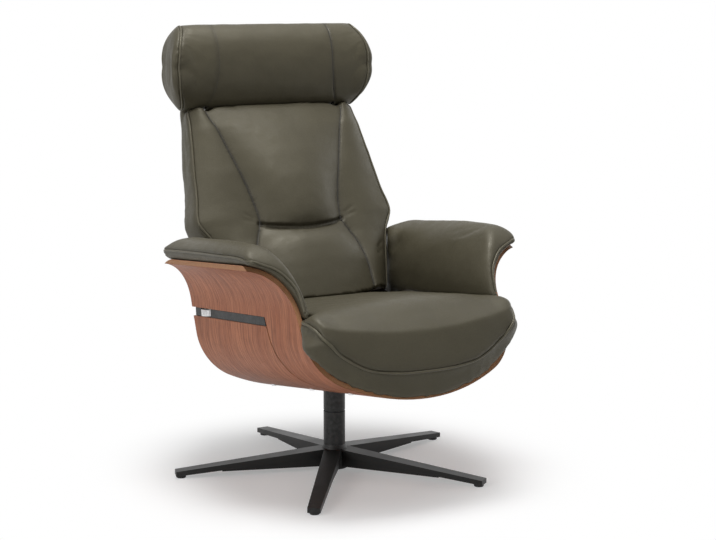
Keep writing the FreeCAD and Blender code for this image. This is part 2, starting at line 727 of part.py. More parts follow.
def seat_profile(x):
    """Side view of the seat cushion at one X: rear, top, crown, nose, piping, gusset and underside."""
    def p(y, z):
        return V(x, y, z)

    share = abs(x) / 290.0
    piping_z = 292.0 + 134.0 * share ** 2.6
    piping_y = -476.0 + 40.0 * share ** 3
    crown_z = 450.0 - 22.0 * share ** 3
    crown_y = SEAT_CROWN_Y + 6.0 * share
    nose_y = piping_y - 8.0 + 2.0 * share
    nose_z = piping_z + 0.5 * (crown_z - piping_z)
    gusset = gusset_foot(abs(x))
    under = pan_top()
    back_z = SEAT_TOP_BACK - 2.0 * share
    mid_z = SEAT_TOP_MIDDLE - 9.0 * share ** 2
    inner_y = -400.0 + 20.0 * share
    return Part.Wire([line(p(SEAT_REAR_Y, under), p(SEAT_REAR_Y, back_z)),
                      arc(p(SEAT_REAR_Y, back_z), p(-170.0, mid_z), p(crown_y, crown_z)),
                      arc(p(crown_y, crown_z), p(nose_y + 10.0, nose_z + 0.2 * (crown_z - nose_z)),
                          p(piping_y, piping_z)),
                      line(p(piping_y, piping_z), p(*gusset)),
                      line(p(*gusset), p(inner_y, under)),
                      line(p(inner_y, under), p(SEAT_REAR_Y, under))])


def gusset_foot(x):
    """Where the front gusset meets the shell's edge, just ahead of its inner line."""
    bottom = FRONT_BOTTOM + SHELL_THICKNESS
    radius = BOTTOM_RADIUS - SHELL_THICKNESS
    turn_x = 196.0
    if x <= turn_x:
        z = bottom + radius - math.sqrt(radius ** 2 - x ** 2) + 2.0
    else:
        corner_x = WALL_X - CORNER_RADIUS
        small = CORNER_RADIUS - SHELL_THICKNESS
        z_corner = corner_centre_z(FRONT_BOTTOM)
        reach = min(x, corner_x + small * 0.96)
        z = z_corner - math.sqrt(small ** 2 - (reach - corner_x) ** 2) + 2.0
        z += max(0.0, x - reach) * 1.1
    return front_edge_y(z) - SOFT_GAP - 1.0, z


def pan_top():
    return BEAM_TOP + RAIL_HEIGHT + 12.0 + PAN_THICKNESS


def seat_nose_outline():
    """Front view of the seat with rounded ends, as a solid along Y."""
    y0 = -600.0
    flat, top, side_x, side_z, low, high = 240.0, 439.0, 277.0, 402.0, 150.0, 480.0
    bend = math.sqrt(0.5)

    def p(side, x, z):
        return V(side * x, y0, z)

    def corner(side):
        middle = p(side, flat + (side_x - flat) * bend, side_z + (top - side_z) * bend)
        return arc(p(side, flat, top), middle, p(side, side_x, side_z))

    edges = [line(p(-1, flat, high), p(1, flat, high)), line(p(-1, side_x, low), p(1, side_x, low))]
    for side in (-1, 1):
        edges += [line(p(side, flat, high), p(side, flat, top)), corner(side),
                  line(p(side, side_x, side_z), p(side, side_x, low))]
    return Part.Face(Part.Wire(Part.__sortEdges__(edges))).extrude(V(0, 700, 0))


def seat_cushion():
    count = 9
    half = 296.0
    stations = [-half + 2 * half * k / (count - 1) for k in range(count)]
    cushion = soft_loft([seat_profile(x) for x in stations])
    cushion = cushion.common(seat_nose_outline())
    for side in (-1, 1):
        x0, x1 = sorted((side * SEAT_SIDE_X, side * 400.0))
        behind = [(front_edge_y(150) - 2.0, 150), (front_edge_y(620) - 2.0, 620), (200, 620), (200, 150)]
        cushion = cushion.cut(prism_x(behind, x0, x1))
        foot = PAD_BOTTOM - SOFT_GAP
        ahead = PAD_PROUD + SOFT_GAP
        under_pad = [(front_edge_y(foot) - ahead, foot), (front_edge_y(620) - ahead, 620),
                     (200, 620), (200, foot)]
        cushion = cushion.cut(prism_x(under_pad, x0, x1))
        x0, x1 = sorted((side * SEAT_REAR_HALF_WIDTH, side * 400.0))
        cushion = cushion.cut(box(x0, x1, 0.0, 200, 150, 620))
    return tip(cushion)


def seat_pan():
    z1 = pan_top()
    return tip(box(-PAN_HALF_WIDTH, PAN_HALF_WIDTH, PAN_FRONT_Y, PAN_REAR_Y, z1 - PAN_THICKNESS, z1))


def seat_runner():
    z0 = BEAM_TOP + RAIL_FLOOR + SLIDE_GAP
    z1 = pan_top() - PAN_THICKNESS
    half = RUNNER_WIDTH / 2
    return tip(box(RAIL_X - half, RAIL_X + half, RUNNER_FRONT_Y, RUNNER_REAR_Y, z0, z1))


def drive_pin_z():
    return bar_middle() - DRIVE_ARM_LENGTH


def seat_bracket():
    """Slotted plate on the pan's side: the back arm's drive pin moves in its upright slot."""
    x0 = PAN_HALF_WIDTH
    z_pin = drive_pin_z()
    rise = DRIVE_ARM_LENGTH * (1 - math.cos(math.radians(RECLINE_ANGLE)))
    plate = box(x0, x0 + BRACKET_THICKNESS, -60.0, PIVOT_Y + 22.0, z_pin - 22.0, pan_top())
    half = DRIVE_PIN_RADIUS + DRIVE_SLOT_SIDE_GAP
    slot = box(x0 - 1, x0 + BRACKET_THICKNESS + 1, PIVOT_Y - half, PIVOT_Y + half,
               z_pin - half - 1.0, z_pin + rise + half + 1.0)
    return tip(plate.cut(slot))


def seat_travel():
    return DRIVE_ARM_LENGTH * math.sin(math.radians(RECLINE_ANGLE))


# Back

def shape_at(z):
    """Half width, bow, crown and draw-in of the back at one height, between the listed ones."""
    for low, high in zip(BACK_SHAPE, BACK_SHAPE[1:]):
        if z <= high[0]:
            break
    share = (z - low[0]) / (high[0] - low[0])
    return [a + (b - a) * share for a, b in zip(low[1:], high[1:])]


def back_wire(z):
    half, bow, crown, draw_in = shape_at(z)

    def p(x, y):
        return V(x, y, z)

    rear = CUSHION_DEPTH
    tuck = half - draw_in
    side = (half + tuck) / 2 + CUSHION_SIDE_BULGE
    middle = (rear - bow) / 2
    return Part.Wire([arc(p(-half, -bow), p(0, -bow - crown), p(half, -bow)),
                      arc(p(half, -bow), p(side, middle), p(tuck, rear)),
                      line(p(tuck, rear), p(-tuck, rear)),
                      arc(p(-tuck, rear), p(-side, middle), p(-half, -bow))])


def below_back_limit():
    """Space under the back cushion: everything lower than the seat's top, in the back frame."""
    return unlean(tip(box(-400, 400, -500, 500, 100, SEAT_TOP_BACK + 3.0)))


def back_cushion():
    heights = [BACK_LENGTH - BACK_STEP * k for k in range(BACK_STEPS_BELOW, -1, -1)]
    cushion = soft_loft([back_wire(z) for z in heights])
    guide, link = guide_blank(SOFT_GAP), back_link(SOFT_GAP)
    cushion = cushion.cut(below_back_limit()).cut(guide).cut(mirrored(guide))
    return lean(cushion).cut(link).cut(mirrored(link))


def back_outline(margin, low):
    """Half outline of a stiff panel behind the cushion, as (x, z) points in the back frame."""
    return [(240.0 - margin, low), (262.0 - margin, 190.0), (262.0 - margin, 290.0),
            (232.0 - margin, BACK_LENGTH - 24.0), (216.0 - margin, BACK_LENGTH - 8.0)]


def back_panel(margin, low, y0, thickness):
    half = back_outline(margin, low)
    points = [V(x, y0, z) for x, z in half] + [V(-x, y0, z) for x, z in reversed(half)]
    return Part.Face(polygon(points)).extrude(V(0, thickness, 0))


def back_board():
    return lean(back_panel(BOARD_MARGIN, -40.0, CUSHION_DEPTH, BOARD_THICKNESS))


def back_cover():
    y0 = CUSHION_DEPTH + BOARD_THICKNESS
    cover = back_panel(COVER_MARGIN, -40.0, y0, COVER_THICKNESS)
    rear = [e for e in cover.Edges if e.BoundBox.YMin > y0 + COVER_THICKNESS - 0.01]
    return lean(cover.makeFillet(COVER_THICKNESS * 0.55, rear))


def back_link(grow):
    """Upper part of the steel arm: from the pivot to the side of the board."""
    half = BACK_ARM_WIDTH / 2 * 0.8
    y_p, z_p = tip_point(PIVOT_Y, bar_middle())
    board_y = CUSHION_DEPTH + BOARD_THICKNESS
    outline = [(y_p, z_p + half), (y_p, z_p - half)]
    top = 70.0
    outline += [lean_point(board_y, -34.0), lean_point(board_y, top), lean_point(CUSHION_DEPTH - 14.0, top)]
    x0 = BACK_ARM_X - BACK_ARM_THICKNESS / 2 - grow
    face = Part.Face(polygon([V(x0, y, z) for y, z in outline]))
    if grow:
        face = face.makeOffset2D(grow)
    return face.extrude(V(BACK_ARM_THICKNESS + 2 * grow, 0, 0))


def back_arm():
    """Flat steel arm: from the board's foot to the pivot and down to the drive pin."""
    x0 = BACK_ARM_X - BACK_ARM_THICKNESS / 2
    half = BACK_ARM_WIDTH / 2
    z = bar_middle()
    lower = box(x0, x0 + BACK_ARM_THICKNESS, PIVOT_Y - half, PIVOT_Y + half, z - DRIVE_ARM_LENGTH, z)
    foot = Part.makeCylinder(half, BACK_ARM_THICKNESS, V(x0, PIVOT_Y, z - DRIVE_ARM_LENGTH), V(1, 0, 0))
    head = Part.makeCylinder(half, BACK_ARM_THICKNESS, V(x0, PIVOT_Y, z), V(1, 0, 0))
    arm = tip(lower.fuse(foot).fuse(head)).fuse(back_link(0.0))
    y_d, z_d = tip_point(PIVOT_Y, drive_pin_z())
    reach = x0 - PAN_HALF_WIDTH + 2.0
    arm = arm.fuse(Part.makeCylinder(DRIVE_PIN_RADIUS, reach, V(x0, y_d, z_d), V(-1, 0, 0)))
    y_p, z_p = tip_point(PIVOT_Y, z)
    arm = arm.cut(Part.makeCylinder(PIVOT_BUSH_RADIUS, BACK_ARM_THICKNESS, V(x0, y_p, z_p), V(1, 0, 0)))
    return arm.cut(back_board()).removeSplitter()


def pivot_bush():
    y, z = tip_point(PIVOT_Y, bar_middle())
    x0 = BACK_ARM_X - BACK_ARM_THICKNESS / 2
    inner = PIVOT_PIN_RADIUS + RUNNING_GAP
    return tube(PIVOT_BUSH_RADIUS, inner, BACK_ARM_THICKNESS, V(x0, y, z), V(1, 0, 0))


def pivot_pin():
    y, z = tip_point(PIVOT_Y, bar_middle())
    x0 = BACK_ARM_X - BACK_ARM_THICKNESS / 2 - 3.0
    pin = Part.makeCylinder(PIVOT_PIN_RADIUS, bar_inner_x() - x0, V(x0, y, z), V(1, 0, 0))
    head = Part.makeCylinder(PIVOT_PIN_RADIUS + 3.0, 2.5, V(x0 - 2.5, y, z), V(1, 0, 0))
    return pin.fuse(head).removeSplitter()


# Head roll carrier

def guide_blank(grow):
    """Guide tube outside with its strap to the board, in the back frame."""
    r = GUIDE_RADIUS + grow
    low = BACK_LENGTH - GUIDE_LENGTH - grow
    body = Part.makeCylinder(r, BACK_LENGTH - low, V(POST_X, POST_DEPTH, low))
    strap = box(POST_X - r, POST_X + r, POST_DEPTH, CUSHION_DEPTH, STRAP_LOW - grow, STRAP_HIGH + grow)
    return body.fuse(strap).removeSplitter()


def post_guide():
    base = V(POST_X, POST_DEPTH, BACK_LENGTH - GUIDE_LENGTH)
    return lean(guide_blank(0.0).cut(Part.makeCylinder(POST_RADIUS + RUNNING_GAP, GUIDE_LENGTH, base)))


def post_collar():
    """Chrome rosette: a round flange on a short neck."""
    base = V(POST_X, POST_DEPTH, BACK_LENGTH)
    height = COLLAR_STEP + COLLAR_FLANGE
    flange = Part.makeCylinder(COLLAR_RADIUS, COLLAR_FLANGE, base + V(0, 0, COLLAR_STEP))
    neck = Part.makeCylinder(COLLAR_NECK_RADIUS, height, base)
    bore = Part.makeCylinder(POST_RADIUS + RUNNING_GAP, height, base)
    return lean(flange.fuse(neck).cut(bore).removeSplitter())


def hinge_point():
    return ROLL_CENTRE_Y, ROLL_BOTTOM + ROLL_HINGE_HEIGHT


def headrest_post():
    base = V(POST_X, POST_DEPTH, BACK_LENGTH - POST_ENGAGED)
    post = lean(Part.makeCylinder(POST_RADIUS, POST_TOP - BACK_LENGTH + POST_ENGAGED, base))
    x0 = POST_X - EAR_THICKNESS / 2
    y_h, z_h = hinge_point()
    half = POST_RADIUS + 0.5
    low_z = POST_TOP - EAR_BELOW_TOP
    outline = [(y_h - 10.0, z_h - 3.0), lean_point(POST_DEPTH - half, low_z),
               lean_point(POST_DEPTH + half, low_z), lean_point(POST_DEPTH + half, POST_TOP),
               (y_h + 10.0, z_h)]
    ear = prism_x(outline, x0, x0 + EAR_THICKNESS)
    boss = Part.makeCylinder(EAR_RADIUS, EAR_THICKNESS, V(x0, y_h, z_h), V(1, 0, 0))
    solid = post.fuse(ear).fuse(boss)
    return solid.cut(Part.makeCylinder(ROLL_ROD_RADIUS, EAR_THICKNESS, V(x0, y_h, z_h), V(1, 0, 0)))


def headrest_rod():
    y_h, z_h = hinge_point()
    half = ROLL_ROD_HALF_LENGTH
    return Part.makeCylinder(ROLL_ROD_RADIUS, 2 * half, V(-half, y_h, z_h), V(1, 0, 0))


def core_blank(grow):
    y_h, z_h = hinge_point()
    r = ROLL_ROD_RADIUS + 4.0 + grow
    half = CORE_HALF_WIDTH + grow
    thick = CORE_THICKNESS / 2 + grow
    knuckle = Part.makeCylinder(r, 2 * half, V(-half, y_h, z_h), V(1, 0, 0))
    plate = box(-half, half, y_h - thick, y_h + thick, z_h, z_h + CORE_HEIGHT + grow)
    return knuckle.fuse(plate).removeSplitter()


def rod_bore(radius):
    y_h, z_h = hinge_point()
    half = ROLL_ROD_HALF_LENGTH + 2.0
    return Part.makeCylinder(radius, 2 * half, V(-half, y_h, z_h), V(1, 0, 0))


def roll_core():
    return core_blank(0.0).cut(rod_bore(ROLL_ROD_RADIUS + RUNNING_GAP))


def roll_wire(x, shift, half_depth, half_height):
    """Oval section of the head roll in a plane of constant X, as four arcs."""
    y_c = ROLL_CENTRE_Y + shift
    z_c = ROLL_BOTTOM + ROLL_HALF_HEIGHT
    h = math.sqrt(0.5) * 1.03

    def p(u, w):
        return V(x, y_c + half_depth * u, z_c + half_height * w)

    return Part.Wire([arc(p(0, -1), p(h, -h), p(1, 0)), arc(p(1, 0), p(h, h), p(0, 1)),
                      arc(p(0, 1), p(-h, h), p(-1, 0)), arc(p(-1, 0), p(-h, -h), p(0, -1))])


def post_pocket(x):
    """Room in the roll for one post and its ear over the roll's whole tilt."""
    y_h, z_h = hinge_point()
    half = EAR_THICKNESS / 2 + 1.5
    fan = [(-40, -66), (0, -66), (6, -50), (15, -32), (15, -4), (13, 14), (-13, 14),
           (-14, -4), (-28, -40), (-38, -52)]
    return prism_x([(y_h + dy, z_h + dz) for dy, dz in fan], x - half, x + half)


def roll_end(side):
    """Bulged end of the roll, fullest towards the front."""
    table = [(ROLL_SEAM_X, 0.0, 1.0, 1.0), (257.0, -4.0, 0.92, 0.93), (268.0, -10.0, 0.76, 0.78),
             (279.0, -18.0, 0.46, 0.48)]
    wires = [roll_wire(side * x, dy, ROLL_HALF_DEPTH * a, ROLL_HALF_HEIGHT * b) for x, dy, a, b in table]
    return soft_loft(wires)


def head_roll():
    middle = Part.Face(roll_wire(-ROLL_SEAM_X, 0.0, ROLL_HALF_DEPTH, ROLL_HALF_HEIGHT))
    middle = middle.extrude(V(2 * ROLL_SEAM_X, 0, 0))
    roll = middle.fuse(roll_end(-1)).fuse(roll_end(1))
    roll = roll.cut(core_blank(SOFT_GAP))
    roll = roll.cut(rod_bore(ROLL_ROD_RADIUS + SOFT_GAP))
    for side in (-1, 1):
        roll = roll.cut(post_pocket(side * POST_X))
    return roll


def export(name, shape):
    shape.translated(V(0, ORIGIN_SHIFT, 0)).exportStep("parts/" + name + ".step")


def export_pair(name, shape):
    export(name + "_right", shape)
    export(name + "_left", mirrored(shape))


def main():
    os.makedirs("parts", exist_ok=True)
    export("star_base", star_base())
    for number, angle in enumerate(leg_angles(), 1):
        export("glide_%d" % number, glide(angle))
    export("column_tube", column_tube())
    export("bush_upper", bush(upper_bush_bottom(), True))
    export("bush_lower", bush(lower_bush_bottom(), False))
    export("hub_cap", hub_cap())
    export("thrust_washer", thrust_washer())
    export("swivel_spindle", swivel_spindle())
    export("retaining_ring", retaining_ring())
    export("column_sleeve", column_sleeve())
    blank = shell_blank()
    front, rear = shell_front(blank), shell_rear(blank)
    export("shell_front", front)
    export("shell_rear", rear)
    for number, place in enumerate(screw_places(), 1):
        export("shell_screw_%d" % number, shell_screw(place, front if place[1] == HOOP_Y else rear))
    export("chassis_frame", chassis_frame())
    export_pair("seat_rail", seat_rail())
    export_pair("arm_bar", arm_bar())
    export_pair("friction_knob", friction_knob())
    export_pair("knob_pin", knob_pin())
    export_pair("arm_pad", arm_pad())
    export("seat_cushion", seat_cushion())
    export("seat_pan", seat_pan())
    export_pair("seat_runner", seat_runner())
    export_pair("seat_bracket", seat_bracket())
    export("back_cushion", back_cushion())
    export("back_board", back_board())
    export("back_cover", back_cover())
    export_pair("back_arm", back_arm())
    export_pair("pivot_bush", pivot_bush())
    export_pair("pivot_pin", pivot_pin())
    export_pair("post_guide", post_guide())
    export_pair("post_collar", post_collar())
    export_pair("headrest_post", headrest_post())
    export("headrest_rod", headrest_rod())
    export("roll_core", roll_core())
    export("head_roll", head_roll())
    pivot = [round(c, 2) for c in tip_point(PIVOT_Y, bar_middle())]
    print("seat travel", round(seat_travel(), 2), "pivot", pivot)


main()
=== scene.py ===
import json
import math

import bpy
import numpy as np
from mathutils import Matrix, Vector, noise
from mathutils.bvhtree import BVHTree

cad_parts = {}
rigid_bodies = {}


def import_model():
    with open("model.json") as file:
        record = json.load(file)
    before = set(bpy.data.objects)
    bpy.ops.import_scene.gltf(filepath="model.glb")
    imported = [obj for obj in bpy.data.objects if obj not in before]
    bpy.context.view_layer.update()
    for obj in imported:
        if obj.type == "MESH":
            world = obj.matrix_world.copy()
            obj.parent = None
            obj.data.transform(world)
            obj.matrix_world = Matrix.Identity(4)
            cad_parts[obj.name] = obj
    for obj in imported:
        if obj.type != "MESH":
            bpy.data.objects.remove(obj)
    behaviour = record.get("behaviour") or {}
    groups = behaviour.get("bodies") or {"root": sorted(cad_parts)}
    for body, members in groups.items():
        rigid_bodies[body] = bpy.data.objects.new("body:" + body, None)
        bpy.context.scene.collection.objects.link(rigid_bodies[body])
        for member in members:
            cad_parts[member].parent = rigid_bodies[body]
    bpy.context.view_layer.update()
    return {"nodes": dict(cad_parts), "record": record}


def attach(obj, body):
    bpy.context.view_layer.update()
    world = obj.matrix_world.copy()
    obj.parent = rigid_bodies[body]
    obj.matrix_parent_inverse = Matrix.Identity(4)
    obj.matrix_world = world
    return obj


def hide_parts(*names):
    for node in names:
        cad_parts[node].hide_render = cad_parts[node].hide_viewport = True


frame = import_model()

scene = bpy.context.scene

# The chair's own frames. Lengths in this file are metres.
AXIS_Y = 0.0138
SEAT_TILT = math.radians(5.6)
BACK_TILT = math.radians(27.6)
BACK_FOOT = (0.116 + AXIS_Y, 0.426)

# Shell section, in the seat frame
WALL_X = 0.274
FLARE_START = 0.434
FLARE_RADIUS = 0.108
CORNER_RADIUS = 0.127
BOTTOM_RADIUS = 0.469
SHELL_THICKNESS = 0.012
FRONT_Y = -0.455
REAR_Y = 0.206
FRONT_BOTTOM = 0.227
REAR_BOTTOM = 0.197

WELT_RADIUS = 0.0027
# Radius of the thin dark cords laid in seam creases as painted shade.
CREASE_SHADE_RADIUS = 0.0012
STITCH_LENGTH = 0.0046
STITCH_PITCH = 0.0064
STITCH_RADIUS = 0.0007
SEAM_REACH = 0.03

# Voxel sizes of the even meshes
LARGE_VOXEL = 0.006
SMALL_VOXEL = 0.005


def from_tilted(points, tilt, foot_y, foot_z):
    """Points of a frame tipped back about X, in the row frame."""
    p = np.asarray(points, float)
    c, s = math.cos(tilt), math.sin(tilt)
    y = foot_y + p[..., 1] * c + p[..., 2] * s
    z = foot_z + p[..., 2] * c - p[..., 1] * s
    return np.stack([p[..., 0], y, z], -1)


def to_tilted(points, tilt, foot_y, foot_z):
    """Points of the row frame, in a frame tipped back about X."""
    p = np.asarray(points, float)
    c, s = math.cos(tilt), math.sin(tilt)
    dy, dz = p[..., 1] - foot_y, p[..., 2] - foot_z
    return np.stack([p[..., 0], dy * c - dz * s, dz * c + dy * s], -1)


def from_seat(points):
    return from_tilted(points, SEAT_TILT, AXIS_Y, 0.0)


def to_seat(points):
    return to_tilted(points, SEAT_TILT, AXIS_Y, 0.0)


def from_back(points):
    return from_tilted(points, BACK_TILT, *BACK_FOOT)


def to_back(points):
    return to_tilted(points, BACK_TILT, *BACK_FOOT)


# Working on one object at a time

def only(piece):
    """Make a piece the one that operators act on."""
    if bpy.context.object and bpy.context.object.mode != "OBJECT":
        bpy.ops.object.mode_set(mode="OBJECT")
    for other in bpy.context.view_layer.objects:
        other.select_set(False)
    bpy.context.view_layer.objects.active = piece
    piece.select_set(True)


def apply_all(piece):
    only(piece)
    for modifier in list(piece.modifiers):
        bpy.ops.object.modifier_apply(modifier=modifier.name)


def points_of(piece):
    flat = np.empty(len(piece.data.vertices) * 3)
    piece.data.vertices.foreach_get("co", flat)
    return flat.reshape(-1, 3)


def normals_of(piece):
    flat = np.empty(len(piece.data.vertices) * 3, np.float32)
    piece.data.vertex_normals.foreach_get("vector", flat)
    return flat.reshape(-1, 3).astype(float)


def seat_places(piece):
    """A piece's points in the seat frame: all of them, then how far out, back and up they lie."""
    local = to_seat(points_of(piece))
    return local, np.abs(local[:, 0]), local[:, 1], local[:, 2]


def set_points(piece, points):
    piece.data.vertices.foreach_set("co", np.asarray(points, np.float32).ravel())
    piece.data.update()


def even_mesh(piece, voxel):
    even = piece.modifiers.new("even", "REMESH")
    even.mode = "VOXEL"
    even.voxel_size = voxel


def soft_blank(name, node, voxel, reshape=None):
    """A closed, evenly meshed copy of a soft CAD solid, ready to be shaped."""
    blank = bpy.data.objects.new(name, frame["nodes"][node].data.copy())
    scene.collection.objects.link(blank)
    blank.data.materials.clear()
    only(blank)
    bpy.ops.object.mode_set(mode="EDIT")
    bpy.ops.mesh.select_all(action="SELECT")
    bpy.ops.mesh.remove_doubles(threshold=0.00002)
    bpy.ops.object.mode_set(mode="OBJECT")
    if reshape:
        reshape(blank)
    even_mesh(blank, voxel)
    smooth = blank.modifiers.new("smooth", "SMOOTH")
    smooth.factor = 0.5
    smooth.iterations = 4
    apply_all(blank)
    bpy.ops.object.shade_smooth()
    return blank


def calm(piece, free, passes):
    """Smooth the free part of a piece and leave the rest as it is."""
    group = piece.vertex_groups.new(name="free")
    for level in (0.25, 0.5, 0.75, 1.0):
        chosen = np.where((free > level - 0.25) & (free <= level))[0]
        group.add(chosen.tolist(), level, "REPLACE")
    smooth = piece.modifiers.new("calm", "SMOOTH")
    smooth.factor = 0.5
    smooth.iterations = passes
    smooth.vertex_group = "free"
    apply_all(piece)
    piece.vertex_groups.clear()


def hold(distance, reach=0.010):
    """How firmly points are held at a seam, from their distance to it."""
    return np.clip(1.4 - distance / reach, 0, 1)


def swell(piece, held, pressure, cap, frames=18):
    """Blow a cushion up between its held seams, no point further than the cap."""
    rest = points_of(piece)
    group = piece.vertex_groups.new(name="held")
    for step in range(1, 6):
        level = step / 5
        chosen = np.where((held > level - 0.2) & (held <= level))[0]
        group.add(chosen.tolist(), level, "REPLACE")
    cloth = piece.modifiers.new("swell", "CLOTH")
    cloth.settings.quality = 4
    cloth.settings.mass = 0.3
    cloth.settings.tension_stiffness = 25
    cloth.settings.compression_stiffness = 25
    cloth.settings.shear_stiffness = 10
    cloth.settings.bending_stiffness = 1.0
    cloth.settings.use_pressure = True
    cloth.settings.uniform_pressure_force = pressure
    cloth.settings.vertex_group_mass = "held"
    cloth.settings.effector_weights.gravity = 0
    cloth.point_cache.frame_start = 1
    cloth.point_cache.frame_end = frames
    for number in range(1, frames + 1):
        scene.frame_set(number)
    shaped = piece.evaluated_get(bpy.context.evaluated_depsgraph_get())
    moved = points_of(shaped) - rest
    piece.modifiers.remove(cloth)
    piece.vertex_groups.remove(group)
    scene.frame_set(1)
    length = np.linalg.norm(moved, axis=1, keepdims=True)
    limit = cap * np.tanh(length / cap) / np.maximum(length, 1e-9)
    set_points(piece, rest + moved * limit)


def refine(piece):
    finer = piece.modifiers.new("finer", "SUBSURF")
    finer.levels = finer.render_levels = 1
    apply_all(piece)


# Lines of seams

def smooth_line(points, step=0.004, closed=False):
    """Even points along a smooth curve through given ones."""
    p = np.asarray(points, float)
    ends = (p[-1], p[0], p[1]) if closed else (2 * p[0] - p[1], 2 * p[-1] - p[-2], None)
    if closed:
        p = np.vstack([ends[0], p, ends[1], ends[2]])
    else:
        p = np.vstack([ends[0], p, ends[1]])
    fine = []
    for a, b, c, d in zip(p, p[1:], p[2:], p[3:]):
        for t in np.linspace(0, 1, 24, endpoint=False):
            fine.append(0.5 * (2 * b + (c - a) * t + (2 * a - 5 * b + 4 * c - d) * t * t
                               + (3 * b - a - 3 * c + d) * t ** 3))
    fine.append(p[-2])
    fine = np.array(fine)
    run = np.r_[0, np.cumsum(np.linalg.norm(np.diff(fine, axis=0), axis=1))]
    count = max(4, int(run[-1] / step))
    at = np.linspace(0, run[-1], count + 1)
    return np.stack([np.interp(at, run, fine[:, k]) for k in range(3)], 1)


def even_out(line, passes=3):
    for _ in range(passes):
        line[1:-1] = (line[:-2] + 2 * line[1:-1] + line[2:]) / 4
    return line


def on_surface(line, piece, lift=0.0, ahead=None):
    """The line laid on a piece: to its nearest point, or straight along a direction."""
    tree = BVHTree.FromObject(piece, bpy.context.evaluated_depsgraph_get())
    laid, normals = [], []
    for point in line:
        found = None
        if ahead is not None:
            direction = Vector(ahead)
            found = tree.ray_cast(Vector(point) - direction * 0.3, direction)
        if not found or found[0] is None:
            found = tree.find_nearest(Vector(point))
        laid.append(np.array(found[0]) + np.array(found[1]) * lift)
        normals.append(np.array(found[1]))
    return np.array(laid), even_out(np.array(normals))


def nearest_on(line, points, reach):
    """For each point: distance to the line and the run along it, worked out only within reach."""
    run = np.r_[0, np.cumsum(np.linalg.norm(np.diff(line, axis=0), axis=1))]
    distance = np.full(len(points), 9.0)
    along = np.zeros(len(points))
    low, high = line.min(0) - reach, line.max(0) + reach
    near = np.where(((points > low) & (points < high)).all(1))[0]
    for start in range(0, len(near), 4000):
        chosen = near[start:start + 4000]
        gaps = np.linalg.norm(points[chosen][:, None] - line[None], axis=2)
        best = gaps.argmin(1)
        distance[chosen] = gaps[np.arange(len(chosen)), best]
        along[chosen] = run[best]
    return distance, along


def mark(piece, name, values):
    """Keep a value per point on the piece, for its material."""
    layer = piece.data.attributes.get(name) or piece.data.attributes.new(name, "FLOAT", "POINT")
    layer.data.foreach_set("value", np.asarray(values, np.float32))


def sew(piece, lines, depth, width, pucker=0.0, spacing=0.02):
    """Pull the leather in along the seams, with small gathers beside them, and keep each point's closeness to
    them for the painted shade along the seams.
    """
    points, normals = points_of(piece), normals_of(piece)
    push = np.zeros(len(points))
    seam_shade = np.zeros(len(points))
    for number, line in enumerate(lines):
        distance, along = nearest_on(line, points, width * 6)
        groove = np.exp(-(distance / width) ** 2)
        push += depth * groove
        seam_shade = np.maximum(seam_shade, np.exp(-distance / (2.2 * width)))
        if pucker:
            wave = np.sin(2 * math.pi * along / spacing + 3 * np.sin(along / spacing * 1.7 + number))
            strength = 0.5 + 0.5 * np.sin(along / spacing * 0.83 + 2.1 * number)
            band = np.exp(-((distance - 1.6 * width) / (2.2 * width)) ** 2)
            push += pucker * wave * strength * band
    set_points(piece, points - normals * push[:, None])
    layer = piece.data.attributes.get("seam")
    if layer:
        old = np.empty(len(points), np.float32)
        layer.data.foreach_get("value", old)
        seam_shade = np.maximum(seam_shade, old)
    mark(piece, "seam", seam_shade)


def wrinkle(piece, height, size, seed, where=None):
    """Shallow uneven waves of leather drawn over foam."""
    points, normals = points_of(piece), normals_of(piece)
    shift = Vector((seed * 3.1, seed * 1.7, seed))
    wave = np.array([noise.noise(Vector(p) / size + shift) for p in points])
    wave += 0.5 * np.array([noise.noise(Vector(p) / (size * 0.43) + shift) for p in points])
    if where is not None:
        wave *= where
    set_points(piece, points + normals * (height * wave)[:, None])


# Piping and stitches

def curve_along(line):
    bpy.ops.curve.primitive_nurbs_path_add()
    path = bpy.context.object
    spline = path.data.splines[0]
    spline.points.add(len(line) - len(spline.points))
    for point, place in zip(spline.points, line):
        point.co = (*place, 1.0)
    spline.order_u = 3
    spline.use_endpoint_u = True
    path.data.resolution_u = 2
    return path


def welt(name, line, radius=WELT_RADIUS):
    """Round cord along a seam: leather-covered piping, or a thin dark line of painted shade in a seam's
    crease.
    """
    cord = curve_along(line)
    cord.name = name
    cord.data.bevel_depth = radius
    cord.data.bevel_resolution = 3
    cord.data.use_fill_caps = True
    only(cord)
    bpy.ops.object.convert(target="MESH")
    bpy.ops.object.shade_smooth()
    return cord


def stitch_row(name, line):
    """Thread lying on the leather: one short stitch, repeated along the row."""
    path = curve_along(line)
    bpy.ops.mesh.primitive_uv_sphere_add(segments=6, ring_count=4, radius=1.0)
    thread = bpy.context.object
    thread.name = name
    bpy.ops.transform.resize(value=(STITCH_LENGTH / 2, STITCH_RADIUS, STITCH_RADIUS))
    bpy.ops.object.transform_apply(location=False, rotation=False, scale=True)
    row = thread.modifiers.new("row", "ARRAY")
    row.fit_type = "FIT_CURVE"
    row.curve = path
    row.use_relative_offset = False
    row.use_constant_offset = True
    row.constant_offset_displace = (STITCH_PITCH, 0, 0)
    bend = thread.modifiers.new("follow", "CURVE")
    bend.object = path
    apply_all(thread)
    bpy.ops.object.shade_smooth()
    bpy.data.objects.remove(path)
    return thread


def beside(line, normals, offset):
    """A line at the side of another one on the same surface."""
    along = np.gradient(line, axis=0)
    side = np.cross(normals, along)
    side /= np.linalg.norm(side, axis=1, keepdims=True)
    return line + side * offset


def mirror_line(points):
    return [(-x, y, z) for x, y, z in points]


# Back cushion

